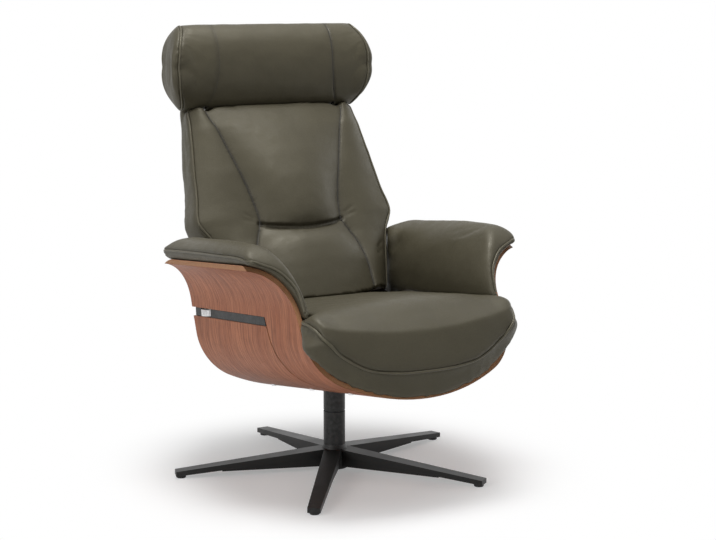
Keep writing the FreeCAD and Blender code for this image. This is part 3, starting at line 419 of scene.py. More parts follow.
INNER_SEAM = [(0.197, -0.020, 0.508), (0.191, -0.04, 0.480), (0.178, -0.04, 0.446), (0.161, -0.04, 0.388),
              (0.144, -0.04, 0.330), (0.130, -0.04, 0.280), (0.120, -0.04, 0.230), (0.117, -0.04, 0.187),
              (0.131, -0.04, 0.152), (0.146, -0.04, 0.112), (0.153, -0.05, 0.060), (0.152, -0.06, 0.0),
              (0.150, -0.06, -0.045)]
TUCK = [(-0.117, -0.04, 0.187), (-0.098, -0.04, 0.177), (-0.055, -0.04, 0.166), (0.0, -0.04, 0.161),
        (0.055, -0.04, 0.166), (0.098, -0.04, 0.177), (0.117, -0.04, 0.187)]
BACK_HEIGHTS = [-0.110, -0.030, 0.060, 0.150, 0.207, 0.267, 0.328, 0.388, 0.449, 0.509]
BACK_HALF = [0.196, 0.215, 0.234, 0.254, 0.283, 0.273, 0.265, 0.257, 0.249, 0.239]
POST_X = 0.185
BACK_BOW = [-0.014, -0.004, 0.008, 0.018, 0.019, 0.017, 0.016, 0.017, 0.017, 0.009]


def tuck_height(x):
    return 0.161 + 0.026 * np.minimum(1, np.abs(x) / 0.117) ** 2


def seam_half(v):
    places = np.array(INNER_SEAM)[::-1]
    return np.interp(v, places[:, 2], places[:, 0])


def soft_interp(at, places, values, blur=0.011):
    """A rounded version of the line through the given places."""
    return sum(share * np.interp(at + k * blur, places, values)
               for k, share in ((-2, 1 / 16), (-1, 4 / 16), (0, 6 / 16), (1, 4 / 16), (2, 1 / 16)))


def back_front(x, v):
    """How far the front face stands ahead of the back's datum plane."""
    half = np.interp(v, BACK_HEIGHTS, BACK_HALF)
    bow = np.interp(v, BACK_HEIGHTS, BACK_BOW)
    seam_x = seam_half(v)
    seam_y = np.interp(v, [-0.05, 0.07, 0.12, 0.15, 0.19, 0.25, 0.33, 0.45, 0.51],
                       [0.064, 0.052, 0.042, 0.036, 0.034, 0.036, 0.042, 0.043, 0.034])
    above = soft_interp(v, [0.161, 0.175, 0.20, 0.235, 0.29, 0.36, 0.43, 0.49, 0.512],
                        [0.060, 0.074, 0.083, 0.087, 0.088, 0.081, 0.067, 0.047, 0.034])
    below = soft_interp(v, [-0.05, 0.02, 0.07, 0.115, 0.14, 0.155, 0.163],
                        [0.088, 0.092, 0.093, 0.089, 0.081, 0.070, 0.058])
    centre = np.where(v > tuck_height(x), above, below)
    ax = np.abs(x)
    share = np.clip(ax / seam_x, 0, 1)
    middle = seam_y + (centre - seam_y) * (1 - share ** 2.4)
    wing = np.clip((ax - seam_x) / np.maximum(half - seam_x, 0.01), 0, 1)
    puff = 0.011 * np.sin(math.pi * wing) ** 0.8
    side = seam_y + (bow - seam_y) * wing ** 1.2 + puff
    return np.where(ax < seam_x, middle, side)


def ease(values, low, high):
    t = np.clip((values - low) / (high - low), 0, 1)
    return t * t * (3 - 2 * t)


def top_rise(local):
    """How far the cushion's top stands above its plain solid: domed behind, dimpled at the posts."""
    ax, y, v = np.abs(local[:, 0]), local[:, 1], local[:, 2]
    top = ease(v, 0.485, 0.507)
    dome = (0.036 * ease(y, 0.006, 0.030) * (1 - 0.6 * ease(y, 0.040, 0.060))
            * (1 - 0.7 * ease(ax, 0.215, 0.240)))
    lip = 0.005 * (1 - ease(y, 0.0, 0.012))
    dimple = 0.009 * np.exp(-((ax - POST_X) / 0.015) ** 2) * (1 - ease(y, 0.004, 0.012))
    return top * (dome + lip - dimple)


# Each fold's two ends, as across and up the back, and its depth
FOLDS = [(0.128, 0.200, 0.165, 0.222, 0.0014), (0.128, 0.192, 0.172, 0.205, 0.0012),
         (0.200, 0.095, 0.232, 0.125, 0.0020), (0.196, 0.080, 0.226, 0.104, 0.0018)]
FOLD_WIDTH = 0.0055


def pinch(cushion):
    """Folds that run out from the ends of the tuck and from the wings' feet."""
    points = points_of(cushion)
    local = to_back(points)
    ax, v = np.abs(local[:, 0]), local[:, 2]
    front = local[:, 1] < 0.0
    push = np.zeros(len(points))
    for x0, v0, x1, v1, depth in FOLDS:
        dx, dv = x1 - x0, v1 - v0
        length = math.hypot(dx, dv)
        run = ((ax - x0) * dx + (v - v0) * dv) / length
        off = ((v - v0) * dx - (ax - x0) * dv) / length
        fade = ease(run, -0.006, 0.008) * (1 - ease(run, length * 0.5, length))
        push += depth * np.exp(-(off / FOLD_WIDTH) ** 2) * fade
    set_points(cushion, points - normals_of(cushion) * (push * front)[:, None])


def back_cushion():
    cushion = soft_blank("back_leather", "back_cushion", LARGE_VOXEL)
    points = points_of(cushion)
    local = to_back(points)
    facing = -(normals_of(cushion) @ np.array([0, math.cos(BACK_TILT), -math.sin(BACK_TILT)]))
    ahead = np.clip((facing - 0.25) / 0.3, 0, 1) * (local[:, 1] < 0.012)
    target = -back_front(local[:, 0], local[:, 2])
    local[:, 1] += (target - local[:, 1]) * ahead
    local[:, 2] += top_rise(local)
    rear_edge = (ease(local[:, 1], 0.015, 0.035) * ease(np.abs(local[:, 0]), 0.205, 0.228)
                 * ease(local[:, 2], 0.32, 0.39))
    local[:, 0] += np.sign(local[:, 0]) * 0.006 * rear_edge
    set_points(cushion, from_back(local))
    even = cushion.modifiers.new("even", "SMOOTH")
    even.factor = 0.5
    even.iterations = 3
    apply_all(cushion)

    forward = from_back([0, 1, 0]) - from_back([0, 0, 0])
    seams = [on_surface(from_back(smooth_line(p)), cushion, 0.0, forward)[0]
             for p in (INNER_SEAM, mirror_line(INNER_SEAM))]
    tuck = on_surface(from_back(smooth_line(TUCK)), cushion, 0.0, forward)[0]
    edge = [(h - 0.005, -b - 0.006, v) for h, b, v in zip(BACK_HALF, BACK_BOW, BACK_HEIGHTS)][1:]
    edge.append((BACK_HALF[-1] - 0.014, -0.012, 0.517))
    edge_lines = [on_surface(from_back(smooth_line(p)), cushion)[0] for p in (edge, mirror_line(edge))]

    points = points_of(cushion)
    held = np.zeros(len(points))
    for line in seams + [tuck] + edge_lines:
        distance, _ = nearest_on(line, points, SEAM_REACH)
        held = np.maximum(held, hold(distance, 0.012))
    local = to_back(points)
    held[local[:, 1] > 0.035] = 1.0
    held[local[:, 2] < -0.03] = 1.0
    swell(cushion, held, 3.5, 0.010)
    refine(cushion)

    seams = [on_surface(line, cushion)[0] for line in seams]
    tuck = on_surface(tuck, cushion)[0]
    sew(cushion, [tuck], 0.0085, 0.0055, 0.0006, 0.034)
    sew(cushion, seams, 0.0024, 0.0032, 0.00022, 0.021)
    sew(cushion, edge_lines, 0.0028, 0.0034, 0.00015, 0.026)
    pinch(cushion)
    wrinkle(cushion, 0.0009, 0.075, 3)
    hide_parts("back_cushion")
    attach(cushion, "back")

    for side, line in zip(("right", "left"), edge_lines):
        place, _ = on_surface(line, cushion, 0.0022)
        finish_trim(welt("back_welt_" + side, even_out(place)), "back")
    for side, line in zip(("right", "left"), seams):
        place, normals = on_surface(line, cushion)
        # A thin dark cord in the seam's crease: painted shade, given the thread finish.
        finish_trim(welt("back_crease_shade_stitch_" + side, even_out(place), CREASE_SHADE_RADIUS), "back")
        for number, offset in enumerate((-0.0042, 0.0042), 1):
            row = on_surface(beside(place, normals, offset), cushion, 0.0002)[0]
            finish_trim(stitch_row("back_stitch_%s_%d" % (side, number), even_out(row)), "back")
    return cushion


def finish_trim(piece, body):
    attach(piece, body)


# Seat cushion

SEAT_WELT = [(0.256, -0.330, 0.4290), (0.268, -0.372, 0.4225), (0.2745, -0.412, 0.4150),
             (0.266, -0.440, 0.4010), (0.242, -0.452, 0.3720), (0.208, -0.457, 0.3400),
             (0.152, -0.465, 0.3080), (0.098, -0.472, 0.2965), (0.040, -0.4755, 0.2920)]
SEAT_WELT_RADIUS = 0.0034
RIDGE_HELD = 0.8


def gusset_foot(x):
    """Where the gusset meets the shell's front edge, in the seat frame."""
    bottom, radius = FRONT_BOTTOM + SHELL_THICKNESS, BOTTOM_RADIUS - SHELL_THICKNESS
    corner_x, small = WALL_X - CORNER_RADIUS, CORNER_RADIUS - SHELL_THICKNESS
    reach = BOTTOM_RADIUS - CORNER_RADIUS
    corner_z = FRONT_BOTTOM + BOTTOM_RADIUS - math.sqrt(reach ** 2 - corner_x ** 2)
    low = bottom + radius - np.sqrt(radius ** 2 - np.minimum(x, 0.3) ** 2)
    inside = np.clip(x - corner_x, 0, small * 0.96)
    high = corner_z - np.sqrt(small ** 2 - inside ** 2) + np.maximum(0, x - corner_x - small * 0.96) * 1.1
    return np.where(x < 0.196, low, high)


def front_edge(z):
    """How far forward the shell's raked front edge lies at a height."""
    return FRONT_Y + 0.47 * (z - 0.232)


def fill_gusset(cushion):
    """Bring the front gusset down over the wood's edge and fill out its corners."""
    local, ax, y, z = seat_places(cushion)
    low_front = np.exp(-((z - gusset_foot(ax)) / 0.022) ** 2) * (1 - ease(y - front_edge(z), 0.010, 0.030))
    calm(cushion, low_front, 12)
    local, ax, y, z = seat_places(cushion)
    foot = gusset_foot(ax)
    ahead = 1 - ease(y - front_edge(z), -0.004, 0.012)
    spots = np.arange(-0.250, 0.251, 0.010)
    lowest = [z[(np.abs(local[:, 0] - spot) < 0.009) & (ahead > 0.5)].min() for spot in spots]
    edge = np.interp(local[:, 0], spots, lowest)
    near = np.exp(-((z - edge) / 0.018) ** 2) * ahead
    local[:, 2] += np.clip(foot - 0.0085 - edge, -0.022, 0.012) * near * (1 - ease(ax, 0.235, 0.262))
    local[:, 2] -= 0.0100 * np.exp(-((z - foot) / 0.015) ** 2) * ahead * ease(ax, 0.235, 0.262)
    local[:, 1] -= 0.0045 * near
    corner = ease(ax, 0.200, 0.250) * ease(z, 0.262, 0.325) * (1 - ease(z, 0.365, 0.400)) * ahead
    tip = ease(ax, 0.250, 0.280) * np.exp(-((z - 0.408) / 0.022) ** 2) * (1 - ease(y, -0.42, -0.39))
    local[:, 0] += np.sign(local[:, 0]) * (0.011 * corner - 0.009 * tip)
    local[:, 1] += 0.014 * tip - 0.009 * corner
    set_points(cushion, from_seat(local))
    calm(cushion, ahead, 4)


def ridge_height(ax):
    """Height of the seat's soft front ridge, which rises towards its ends."""
    return 0.386 + 0.45 * ax ** 2


def turn_ridge(cushion):
    """Slope the crown's front evenly down to a soft ridge, with the nose falling steeply below it."""
    local, ax, y, z = seat_places(cushion)
    share = ax / 0.29
    crown_z, ridge_z, pipe_z = 0.450 - 0.022 * share ** 3, ridge_height(ax), 0.292 + 0.134 * share ** 2.6
    crown_y, ridge_y, pipe_y = -0.372, -0.463 + 0.030 * share ** 3, -0.476 + 0.040 * share ** 3
    down = np.clip((crown_z - z) / np.maximum(crown_z - ridge_z, 0.004), 0, 1)
    below = np.clip((ridge_z - z) / np.maximum(ridge_z - pipe_z, 0.004), 0, 1)
    front = crown_y + (ridge_y - crown_y) * down ** 0.8 + (pipe_y - 0.002 - ridge_y) * below ** 0.7
    short = np.maximum(0, front - y) * (y < -0.33) * (z > pipe_z - 0.004) * (1 - ease(ax, 0.205, 0.262))
    local[:, 1] += 0.9 * short
    set_points(cushion, from_seat(local))
    calm(cushion, ease(short, 0.0, 0.004), 3)


def seat_cushion():
    cushion = soft_blank("seat_leather", "seat_cushion", LARGE_VOXEL)
    fill_gusset(cushion)
    turn_ridge(cushion)
    points = points_of(cushion)
    local = to_seat(points)
    welt_points = SEAT_WELT + mirror_line(SEAT_WELT)[::-1]
    line = on_surface(from_seat(smooth_line(welt_points)), cushion)[0]
    distance, _ = nearest_on(line, points, SEAM_REACH)
    held = hold(distance)
    under = (normals_of(cushion) @ np.array([0, 0, 1.0])) < -0.2
    held[under] = 1.0
    held[(np.abs(local[:, 0]) > 0.225) & (local[:, 1] > -0.35)] = 1.0
    ridge = np.exp(-((local[:, 2] - ridge_height(np.abs(local[:, 0]))) / 0.012) ** 2) * (local[:, 1] < -0.42)
    held = np.maximum(held, RIDGE_HELD * ridge)
    swell(cushion, held, 3.0, 0.008)
    refine(cushion)
    line = on_surface(line, cushion)[0]
    sew(cushion, [line], 0.0026, 0.0042, 0.0003, 0.030)
    wrinkle(cushion, 0.0012, 0.09, 8)
    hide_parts("seat_cushion")
    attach(cushion, "seat")
    place, _ = on_surface(line, cushion, 0.0018)
    finish_trim(welt("seat_welt", even_out(place, 8), SEAT_WELT_RADIUS), "seat")
    return cushion


# Arm pads

PAD_STEP_Y = 0.092
PAD_LINING_X = 0.2545
PAD_LINING_REAR = 0.166
PAD_WELT = [(0.374, 0.150, 0.574), (0.376, 0.100, 0.575), (0.3755, 0.0, 0.575), (0.3745, -0.100, 0.574),
            (0.373, -0.190, 0.572), (0.3695, -0.262, 0.569), (0.360, -0.304, 0.563), (0.339, -0.322, 0.556),
            (0.315, -0.329, 0.547), (0.296, -0.3345, 0.535), (0.279, -0.343, 0.516), (0.2685, -0.350, 0.500),
            (0.263, -0.359, 0.482), (0.2605, -0.367, 0.462), (0.2600, -0.374, 0.444)]


def wood_inside(z, highest):
    """How far out the shell's inner face lies at a height above the start of its flare."""
    return WALL_X + FLARE_RADIUS - np.sqrt((FLARE_RADIUS + SHELL_THICKNESS) ** 2
                                           - np.clip(z - FLARE_START, 0, highest) ** 2)


def line_rear(pad):
    """Carry the pad's lining on to its rear end, so that no gap shows beside the back."""
    local, ax, y, z = seat_places(pad)
    wood = wood_inside(z, 0.10)
    end = (np.abs(y - PAD_STEP_Y) < 0.001) & (ax < 0.2885) & (z < 0.545)
    share = np.clip((ax - 0.238) / np.maximum(wood - 0.238, 0.01), 0, 1)
    local[end, 0] = (np.sign(local[:, 0]) * (PAD_LINING_X + share * (wood - PAD_LINING_X - 0.001)))[end]
    local[end, 1] = PAD_LINING_REAR
    local[end & (z < 0.43), 2] -= 0.024
    set_points(pad, from_seat(local))


def fill_rear(pad):
    """Thicken the pad's lining towards the rear, so that its top runs on behind the wing."""
    local, ax, y, z = seat_places(pad)
    wood = wood_inside(z, 0.112)
    outer = np.where(z > 0.546, np.interp(z, [0.546, 0.575], [0.338, 0.374]), np.minimum(wood, 0.374))
    lining = np.interp(z, [0.44, 0.55, 0.565, 0.578, 0.588, 0.60],
                       [0.2865, 0.2865, 0.289, 0.296, 0.312, 0.335])
    lining = lining - 0.0205 * ease(y, 0.06, 0.10) * (1 - ease(z, 0.575, 0.595))
    inner = np.interp(z, [0.44, 0.50, 0.54, 0.57, 0.591, 0.605], [0.254, 0.263, 0.282, 0.304, 0.325, 0.356])
    share = np.clip((outer - ax) / np.maximum(outer - inner, 0.006), 0, 1)
    rear = ease(y, -0.06, 0.085)
    local[:, 0] -= np.sign(local[:, 0]) * np.maximum(0, inner - lining) * share * rear
    local[:, 2] += 0.008 * ease(y, 0.07, 0.13) * ease(z, 0.53, 0.575) * share
    set_points(pad, from_seat(local))
    even_mesh(pad, SMALL_VOXEL)
    apply_all(pad)
    bpy.ops.object.shade_smooth()


def arm_pad(side):
    sign = 1 if side == "right" else -1
    pad = soft_blank("pad_leather_" + side, "arm_pad_" + side, SMALL_VOXEL, line_rear)
    fill_rear(pad)
    path = PAD_WELT if sign > 0 else mirror_line(PAD_WELT)
    line = on_surface(from_seat(smooth_line(path)), pad)[0]
    points = points_of(pad)
    local = to_seat(points)
    distance, _ = nearest_on(line, points, SEAM_REACH)
    calm(pad, ease(distance, 0.008, 0.020), 24)
    held = hold(distance)
    inside = normals_of(pad)[:, 0] * -sign
    held[inside < 0.1] = np.maximum(held[inside < 0.1], np.where(local[inside < 0.1, 2] < 0.585, 1.0, 0.3))
    held[local[:, 2] < 0.45] = 1.0
    swell(pad, held, 3.0, 0.006)
    calm(pad, 1 - held, 8)
    refine(pad)
    line = on_surface(line, pad)[0]
    sew(pad, [line], 0.0022, 0.0038, 0.0001, 0.040)
    wrinkle(pad, 0.0007, 0.09, 5 + sign)
    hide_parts("arm_pad_" + side)
    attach(pad, "chassis")
    place, _ = on_surface(line, pad, 0.0016)
    finish_trim(welt("pad_welt_" + side, even_out(place, 6)), "chassis")
    return pad


# Head roll

ROLL_CENTRE = (0.358 + AXIS_Y, 0.994)
ROLL_HALF_DEPTH = 0.057
ROLL_HALF_HEIGHT = 0.107
ROLL_SEAM_X = 0.246
ROLL_FULLNESS = 2.18
ROLL_END_FULL = 0.017
ROLL_RING_REACH = 0.027


def roll_ring(side):
    """Piped seam round one end of the roll: furthest out at the front and the rear."""
    ring = []
    for number in range(32):
        a = 2 * math.pi * number / 32
        out = math.cos(a) ** 2
        ring.append((side * (ROLL_SEAM_X + ROLL_RING_REACH * out),
                     ROLL_CENTRE[0] + ROLL_HALF_DEPTH * (1 - 0.07 * out) * math.cos(a),
                     ROLL_CENTRE[1] + ROLL_HALF_HEIGHT * (1 - 0.07 * out) * math.sin(a)))
    return ring


def round_roll(roll):
    """Even out the roll's section, fill its front corners and let its underside hang lower."""
    points = points_of(roll)
    x, y, z = points.T
    u, w = (y - ROLL_CENTRE[0]) / ROLL_HALF_DEPTH, (z - ROLL_CENTRE[1]) / ROLL_HALF_HEIGHT
    rho = np.sqrt(u * u + w * w)
    ax = np.abs(x)
    body = (rho > 0.88) & (ax < ROLL_SEAM_X)
    full = (np.abs(u) ** ROLL_FULLNESS + np.abs(w) ** ROLL_FULLNESS) ** (1 / ROLL_FULLNESS)
    scale = np.where(body, 1 + (1 / full - 1) * (1 - ease(ax, 0.215, ROLL_SEAM_X)), 1.0)
    points[:, 1] = ROLL_CENTRE[0] + (y - ROLL_CENTRE[0]) * scale
    points[:, 2] = ROLL_CENTRE[1] + (z - ROLL_CENTRE[1]) * scale
    across = np.where(rho > 0.05, u * u / np.maximum(rho * rho, 1e-6), 0)
    cap = np.interp(rho, [0, 0.46, 0.76, 0.92, 1.0], [0.001, 0.001, 0.0095, 0.0155, ROLL_END_FULL])
    grow = np.where(ax > ROLL_SEAM_X, cap, ROLL_END_FULL * ease(ax, 0.190, ROLL_SEAM_X))
    points[:, 0] = np.sign(x) * (ax + grow * across * ease(rho, 0.3, 0.5))
    under = ease(-w, 0.80, 0.97) * ease(rho, 0.88, 0.95)
    points[:, 2] -= 0.0035 * under
    set_points(roll, points)


def head_roll():
    roll = soft_blank("roll_leather", "head_roll", SMALL_VOXEL)
    round_roll(roll)
    rings = [on_surface(smooth_line(roll_ring(s), closed=True), roll)[0] for s in (1, -1)]
    fronts = []
    for s in (1, -1):
        path = []
        for k in range(11):
            turn, drift = math.pi * (0.06 + 0.76 * k / 10), max(0.0, k / 10 - 0.5) * 2
            path.append((s * (0.166 + 0.02 * drift ** 2), ROLL_CENTRE[0] - ROLL_HALF_DEPTH * math.sin(turn),
                         ROLL_CENTRE[1] + ROLL_HALF_HEIGHT * math.cos(turn)))
        fronts.append(on_surface(smooth_line(path), roll)[0])
    points = points_of(roll)
    held = np.zeros(len(points))
    for line in rings:
        distance, _ = nearest_on(line, points, SEAM_REACH)
        held = np.maximum(held, hold(distance))
    below = (points[:, 2] < ROLL_CENTRE[1] - 0.08) | (points[:, 1] > ROLL_CENTRE[0] + 0.02)
    held[below] = 1.0
    swell(roll, held, 3.0, 0.005)
    refine(roll)
    rings = [on_surface(line, roll)[0] for line in rings]
    fronts = [on_surface(line, roll)[0] for line in fronts]
    sew(roll, rings, 0.0036, 0.0036, 0.0005, 0.034)
    sew(roll, fronts[:1], 0.0022, 0.0026, 0.0002, 0.018)
    sew(roll, fronts[1:], 0.0005, 0.0028)
    wrinkle(roll, 0.0010, 0.06, 11)
    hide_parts("head_roll")
    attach(roll, "headrest")
    for side, ring, front in zip(("right", "left"), rings, fronts):
        place, _ = on_surface(ring, roll, 0.0020)
        finish_trim(welt("roll_welt_" + side, even_out(place)), "headrest")
        place, normals = on_surface(front, roll)
        row = on_surface(beside(place, normals, 0.0040), roll, 0.0002)[0]
        finish_trim(stitch_row("roll_stitch_" + side, even_out(row)), "headrest")
        if side == "right":
            # A thin dark cord in the front seam's crease: painted shade, given the thread finish.
            finish_trim(welt("roll_crease_shade_stitch", even_out(place), CREASE_SHADE_RADIUS), "headrest")
    return roll


# Shader groups

def new_group(name, inputs, outputs):
    group = bpy.data.node_groups.new(name, "ShaderNodeTree")
    for label, kind, value in inputs:
        socket = group.interface.new_socket(label, in_out="INPUT", socket_type=kind)
        if value is not None:
            socket.default_value = value
    for label, kind in outputs:
        group.interface.new_socket(label, in_out="OUTPUT", socket_type=kind)
    start = group.nodes.new("NodeGroupInput")
    end = group.nodes.new("NodeGroupOutput")
    return group, start, end


def wire(tree, source, target):
    tree.links.new(source, target)


def node(tree, kind, **settings):
    made = tree.nodes.new(kind)
    for name, value in settings.items():
        setattr(made, name, value)
    return made


def maths(tree, operation, a, b=None, c=None, clamp=False):
    made = tree.nodes.new("ShaderNodeMath")
    made.operation = operation
    made.use_clamp = clamp
    for socket, value in zip(made.inputs, (a, b, c)):
        if value is None:
            continue
        if isinstance(value, (int, float)):
            socket.default_value = value
        else:
            tree.links.new(value, socket)
    return made.outputs[0]


def noise_at(tree, vector, scale, detail=2.0, roughness=0.5):
    made = tree.nodes.new("ShaderNodeTexNoise")
    made.inputs["Scale"].default_value = scale
    made.inputs["Detail"].default_value = detail
    made.inputs["Roughness"].default_value = roughness
    tree.links.new(vector, made.inputs["Vector"])
    return made.outputs["Fac"]


def span(tree, value, low, high, new_low=0.0, new_high=1.0):
    made = tree.nodes.new("ShaderNodeMapRange")
    tree.links.new(value, made.inputs["Value"])
    for label, number in (("From Min", low), ("From Max", high), ("To Min", new_low), ("To Max", new_high)):
        made.inputs[label].default_value = number
    return made.outputs["Result"]


def mix_colours(tree, factor, a, b, blend="MIX"):
    made = tree.nodes.new("ShaderNodeMix")
    made.data_type = "RGBA"
    made.blend_type = blend
    sockets = [s for s in made.inputs if s.type == "RGBA"]
    for socket, value in zip(sockets, (a, b)):
        if isinstance(value, tuple):
            socket.default_value = (*value, 1.0)
        else:
            tree.links.new(value, socket)
    if isinstance(factor, (int, float)):
        made.inputs[0].default_value = factor
    else:
        tree.links.new(factor, made.inputs[0])
    return [s for s in made.outputs if s.type == "RGBA"][0]


def edge_wear_group():
    """Mask of edges and high spots, broken up by noise."""
    group, start, end = new_group("edge_wear", [("Vector", "NodeSocketVector", None),
                                                ("Scale", "NodeSocketFloat", 60.0)],
                                  [("Mask", "NodeSocketFloat")])
    pointed = node(group, "ShaderNodeNewGeometry").outputs["Pointiness"]
    high = span(group, pointed, 0.505, 0.56)
    speck = node(group, "ShaderNodeTexNoise")
    wire(group, start.outputs["Vector"], speck.inputs["Vector"])
    wire(group, start.outputs["Scale"], speck.inputs["Scale"])
    speck.inputs["Detail"].default_value = 4.0
    broken = maths(group, "MULTIPLY", high, span(group, speck.outputs["Fac"], 0.35, 0.7))
    wire(group, maths(group, "MINIMUM", broken, 1.0), end.inputs["Mask"])
    return group


def pebble_group():
    """Leather's small raised cells with fine pores between them."""
    group, start, end = new_group("leather_pebble", [("Vector", "NodeSocketVector", None),
                                                     ("Cell", "NodeSocketFloat", 520.0)],
                                  [("Height", "NodeSocketFloat"), ("Crease", "NodeSocketFloat")])
    warp = node(group, "ShaderNodeTexNoise")
    wire(group, start.outputs["Vector"], warp.inputs["Vector"])
    warp.inputs["Scale"].default_value = 90.0
    shifted = node(group, "ShaderNodeVectorMath", operation="MULTIPLY_ADD")
    wire(group, warp.outputs["Color"], shifted.inputs[0])
    shifted.inputs[1].default_value = (0.0025, 0.0025, 0.0025)
    wire(group, start.outputs["Vector"], shifted.inputs[2])
    cells = node(group, "ShaderNodeTexVoronoi", feature="DISTANCE_TO_EDGE")
    wire(group, shifted.outputs[0], cells.inputs["Vector"])
    wire(group, start.outputs["Cell"], cells.inputs["Scale"])
    rounded = span(group, cells.outputs["Distance"], 0.0, 0.28)
    fine = noise_at(group, shifted.outputs[0], 1500.0, 2.0)
    height = maths(group, "ADD", rounded, maths(group, "MULTIPLY", fine, 0.35))
    wire(group, height, end.inputs["Height"])
    wire(group, maths(group, "SUBTRACT", 1.0, rounded), end.inputs["Crease"])
    return group


def ply_depth_group():
    """Depth below the shell's outer face, in millimetres, from its section of arcs."""
    group, start, end = new_group("ply_depth", [("Vector", "NodeSocketVector", None)],
                                  [("Depth", "NodeSocketFloat"), ("Around", "NodeSocketFloat"),
                                   ("Back", "NodeSocketFloat")])
    parts = node(group, "ShaderNodeSeparateXYZ")
    wire(group, start.outputs["Vector"], parts.inputs[0])
    c, s = math.cos(SEAT_TILT), math.sin(SEAT_TILT)
    y0 = maths(group, "SUBTRACT", parts.outputs["Y"], AXIS_Y)
    z0 = parts.outputs["Z"]
    x = maths(group, "ABSOLUTE", parts.outputs["X"])
    y = maths(group, "SUBTRACT", maths(group, "MULTIPLY", y0, c), maths(group, "MULTIPLY", z0, s))
    z = maths(group, "ADD", maths(group, "MULTIPLY", z0, c), maths(group, "MULTIPLY", y0, s))
    slope = (REAR_BOTTOM - FRONT_BOTTOM) / (REAR_Y - FRONT_Y)
    floor = maths(group, "MULTIPLY_ADD", y, slope, FRONT_BOTTOM - slope * FRONT_Y)
    up = maths(group, "SUBTRACT", z, floor)

    def radius(px, pz, cx, cz):
        dx = maths(group, "SUBTRACT", px, cx)
        dz = maths(group, "SUBTRACT", pz, cz)
        return maths(group, "SQRT", maths(group, "ADD", maths(group, "MULTIPLY", dx, dx),
                                          maths(group, "MULTIPLY", dz, dz)))

    corner_x = WALL_X - CORNER_RADIUS
    reach = BOTTOM_RADIUS - CORNER_RADIUS
    corner_z = BOTTOM_RADIUS - math.sqrt(reach ** 2 - corner_x ** 2)
    bottom = maths(group, "SUBTRACT", BOTTOM_RADIUS, radius(x, up, 0.0, BOTTOM_RADIUS))
    corner = maths(group, "SUBTRACT", CORNER_RADIUS, radius(x, up, corner_x, corner_z))
    wall = maths(group, "SUBTRACT", WALL_X, x)
    flare = maths(group, "SUBTRACT", radius(x, z, WALL_X + FLARE_RADIUS, FLARE_START), FLARE_RADIUS)
    slope_out = corner_x / (BOTTOM_RADIUS - corner_z)
    beyond = maths(group, "MULTIPLY", maths(group, "SUBTRACT", BOTTOM_RADIUS, up), slope_out)
    in_bottom = maths(group, "LESS_THAN", x, beyond)
    in_wall = maths(group, "GREATER_THAN", up, corner_z)
    in_flare = maths(group, "GREATER_THAN", z, FLARE_START)

    def choose(mask, a, b):
        made = group.nodes.new("ShaderNodeMix")
        made.data_type = "FLOAT"
        wire(group, mask, made.inputs[0])
        wire(group, a, made.inputs[2])
        wire(group, b, made.inputs[3])
        return made.outputs[0]

    low = choose(in_bottom, corner, bottom)
    depth = choose(in_flare, choose(in_wall, low, wall), flare)
    wire(group, maths(group, "MULTIPLY", depth, 1000.0), end.inputs["Depth"])
    wire(group, maths(group, "ADD", x, z), end.inputs["Around"])
    wire(group, y, end.inputs["Back"])
    return group


def seen_rays(tree):
    """1 for rays that show the background itself, 0 for those that only carry its light."""
    rays = node(tree, "ShaderNodeLightPath")
    return maths(tree, "MAXIMUM", rays.outputs["Is Camera Ray"],
                 maths(tree, "MAXIMUM", rays.outputs["Is Glossy Ray"], rays.outputs["Is Transmission Ray"]))


# Materials

LEATHER_TINT = (1.0, 0.95, 0.80, 1.0)


def new_material(name):
    material = bpy.data.materials.new(name)
    material.use_nodes = True
    tree = material.node_tree
    shader = tree.nodes["Principled BSDF"]
    place = node(tree, "ShaderNodeTexCoord").outputs["Object"]
    return material, tree, shader, place


def use_group(tree, group, **inputs):
    made = tree.nodes.new("ShaderNodeGroup")
    made.node_tree = group
    for label, value in inputs.items():
        if isinstance(value, (int, float)):
            made.inputs[label].default_value = value
        else:
            tree.links.new(value, made.inputs[label])
    return made


def bump(tree, height, distance, strength, normal=None):
    made = tree.nodes.new("ShaderNodeBump")
    made.inputs["Distance"].default_value = distance
    made.inputs["Strength"].default_value = strength
    wire(tree, height, made.inputs["Height"])
    if normal is not None:
        wire(tree, normal, made.inputs["Normal"])
    return made.outputs["Normal"]


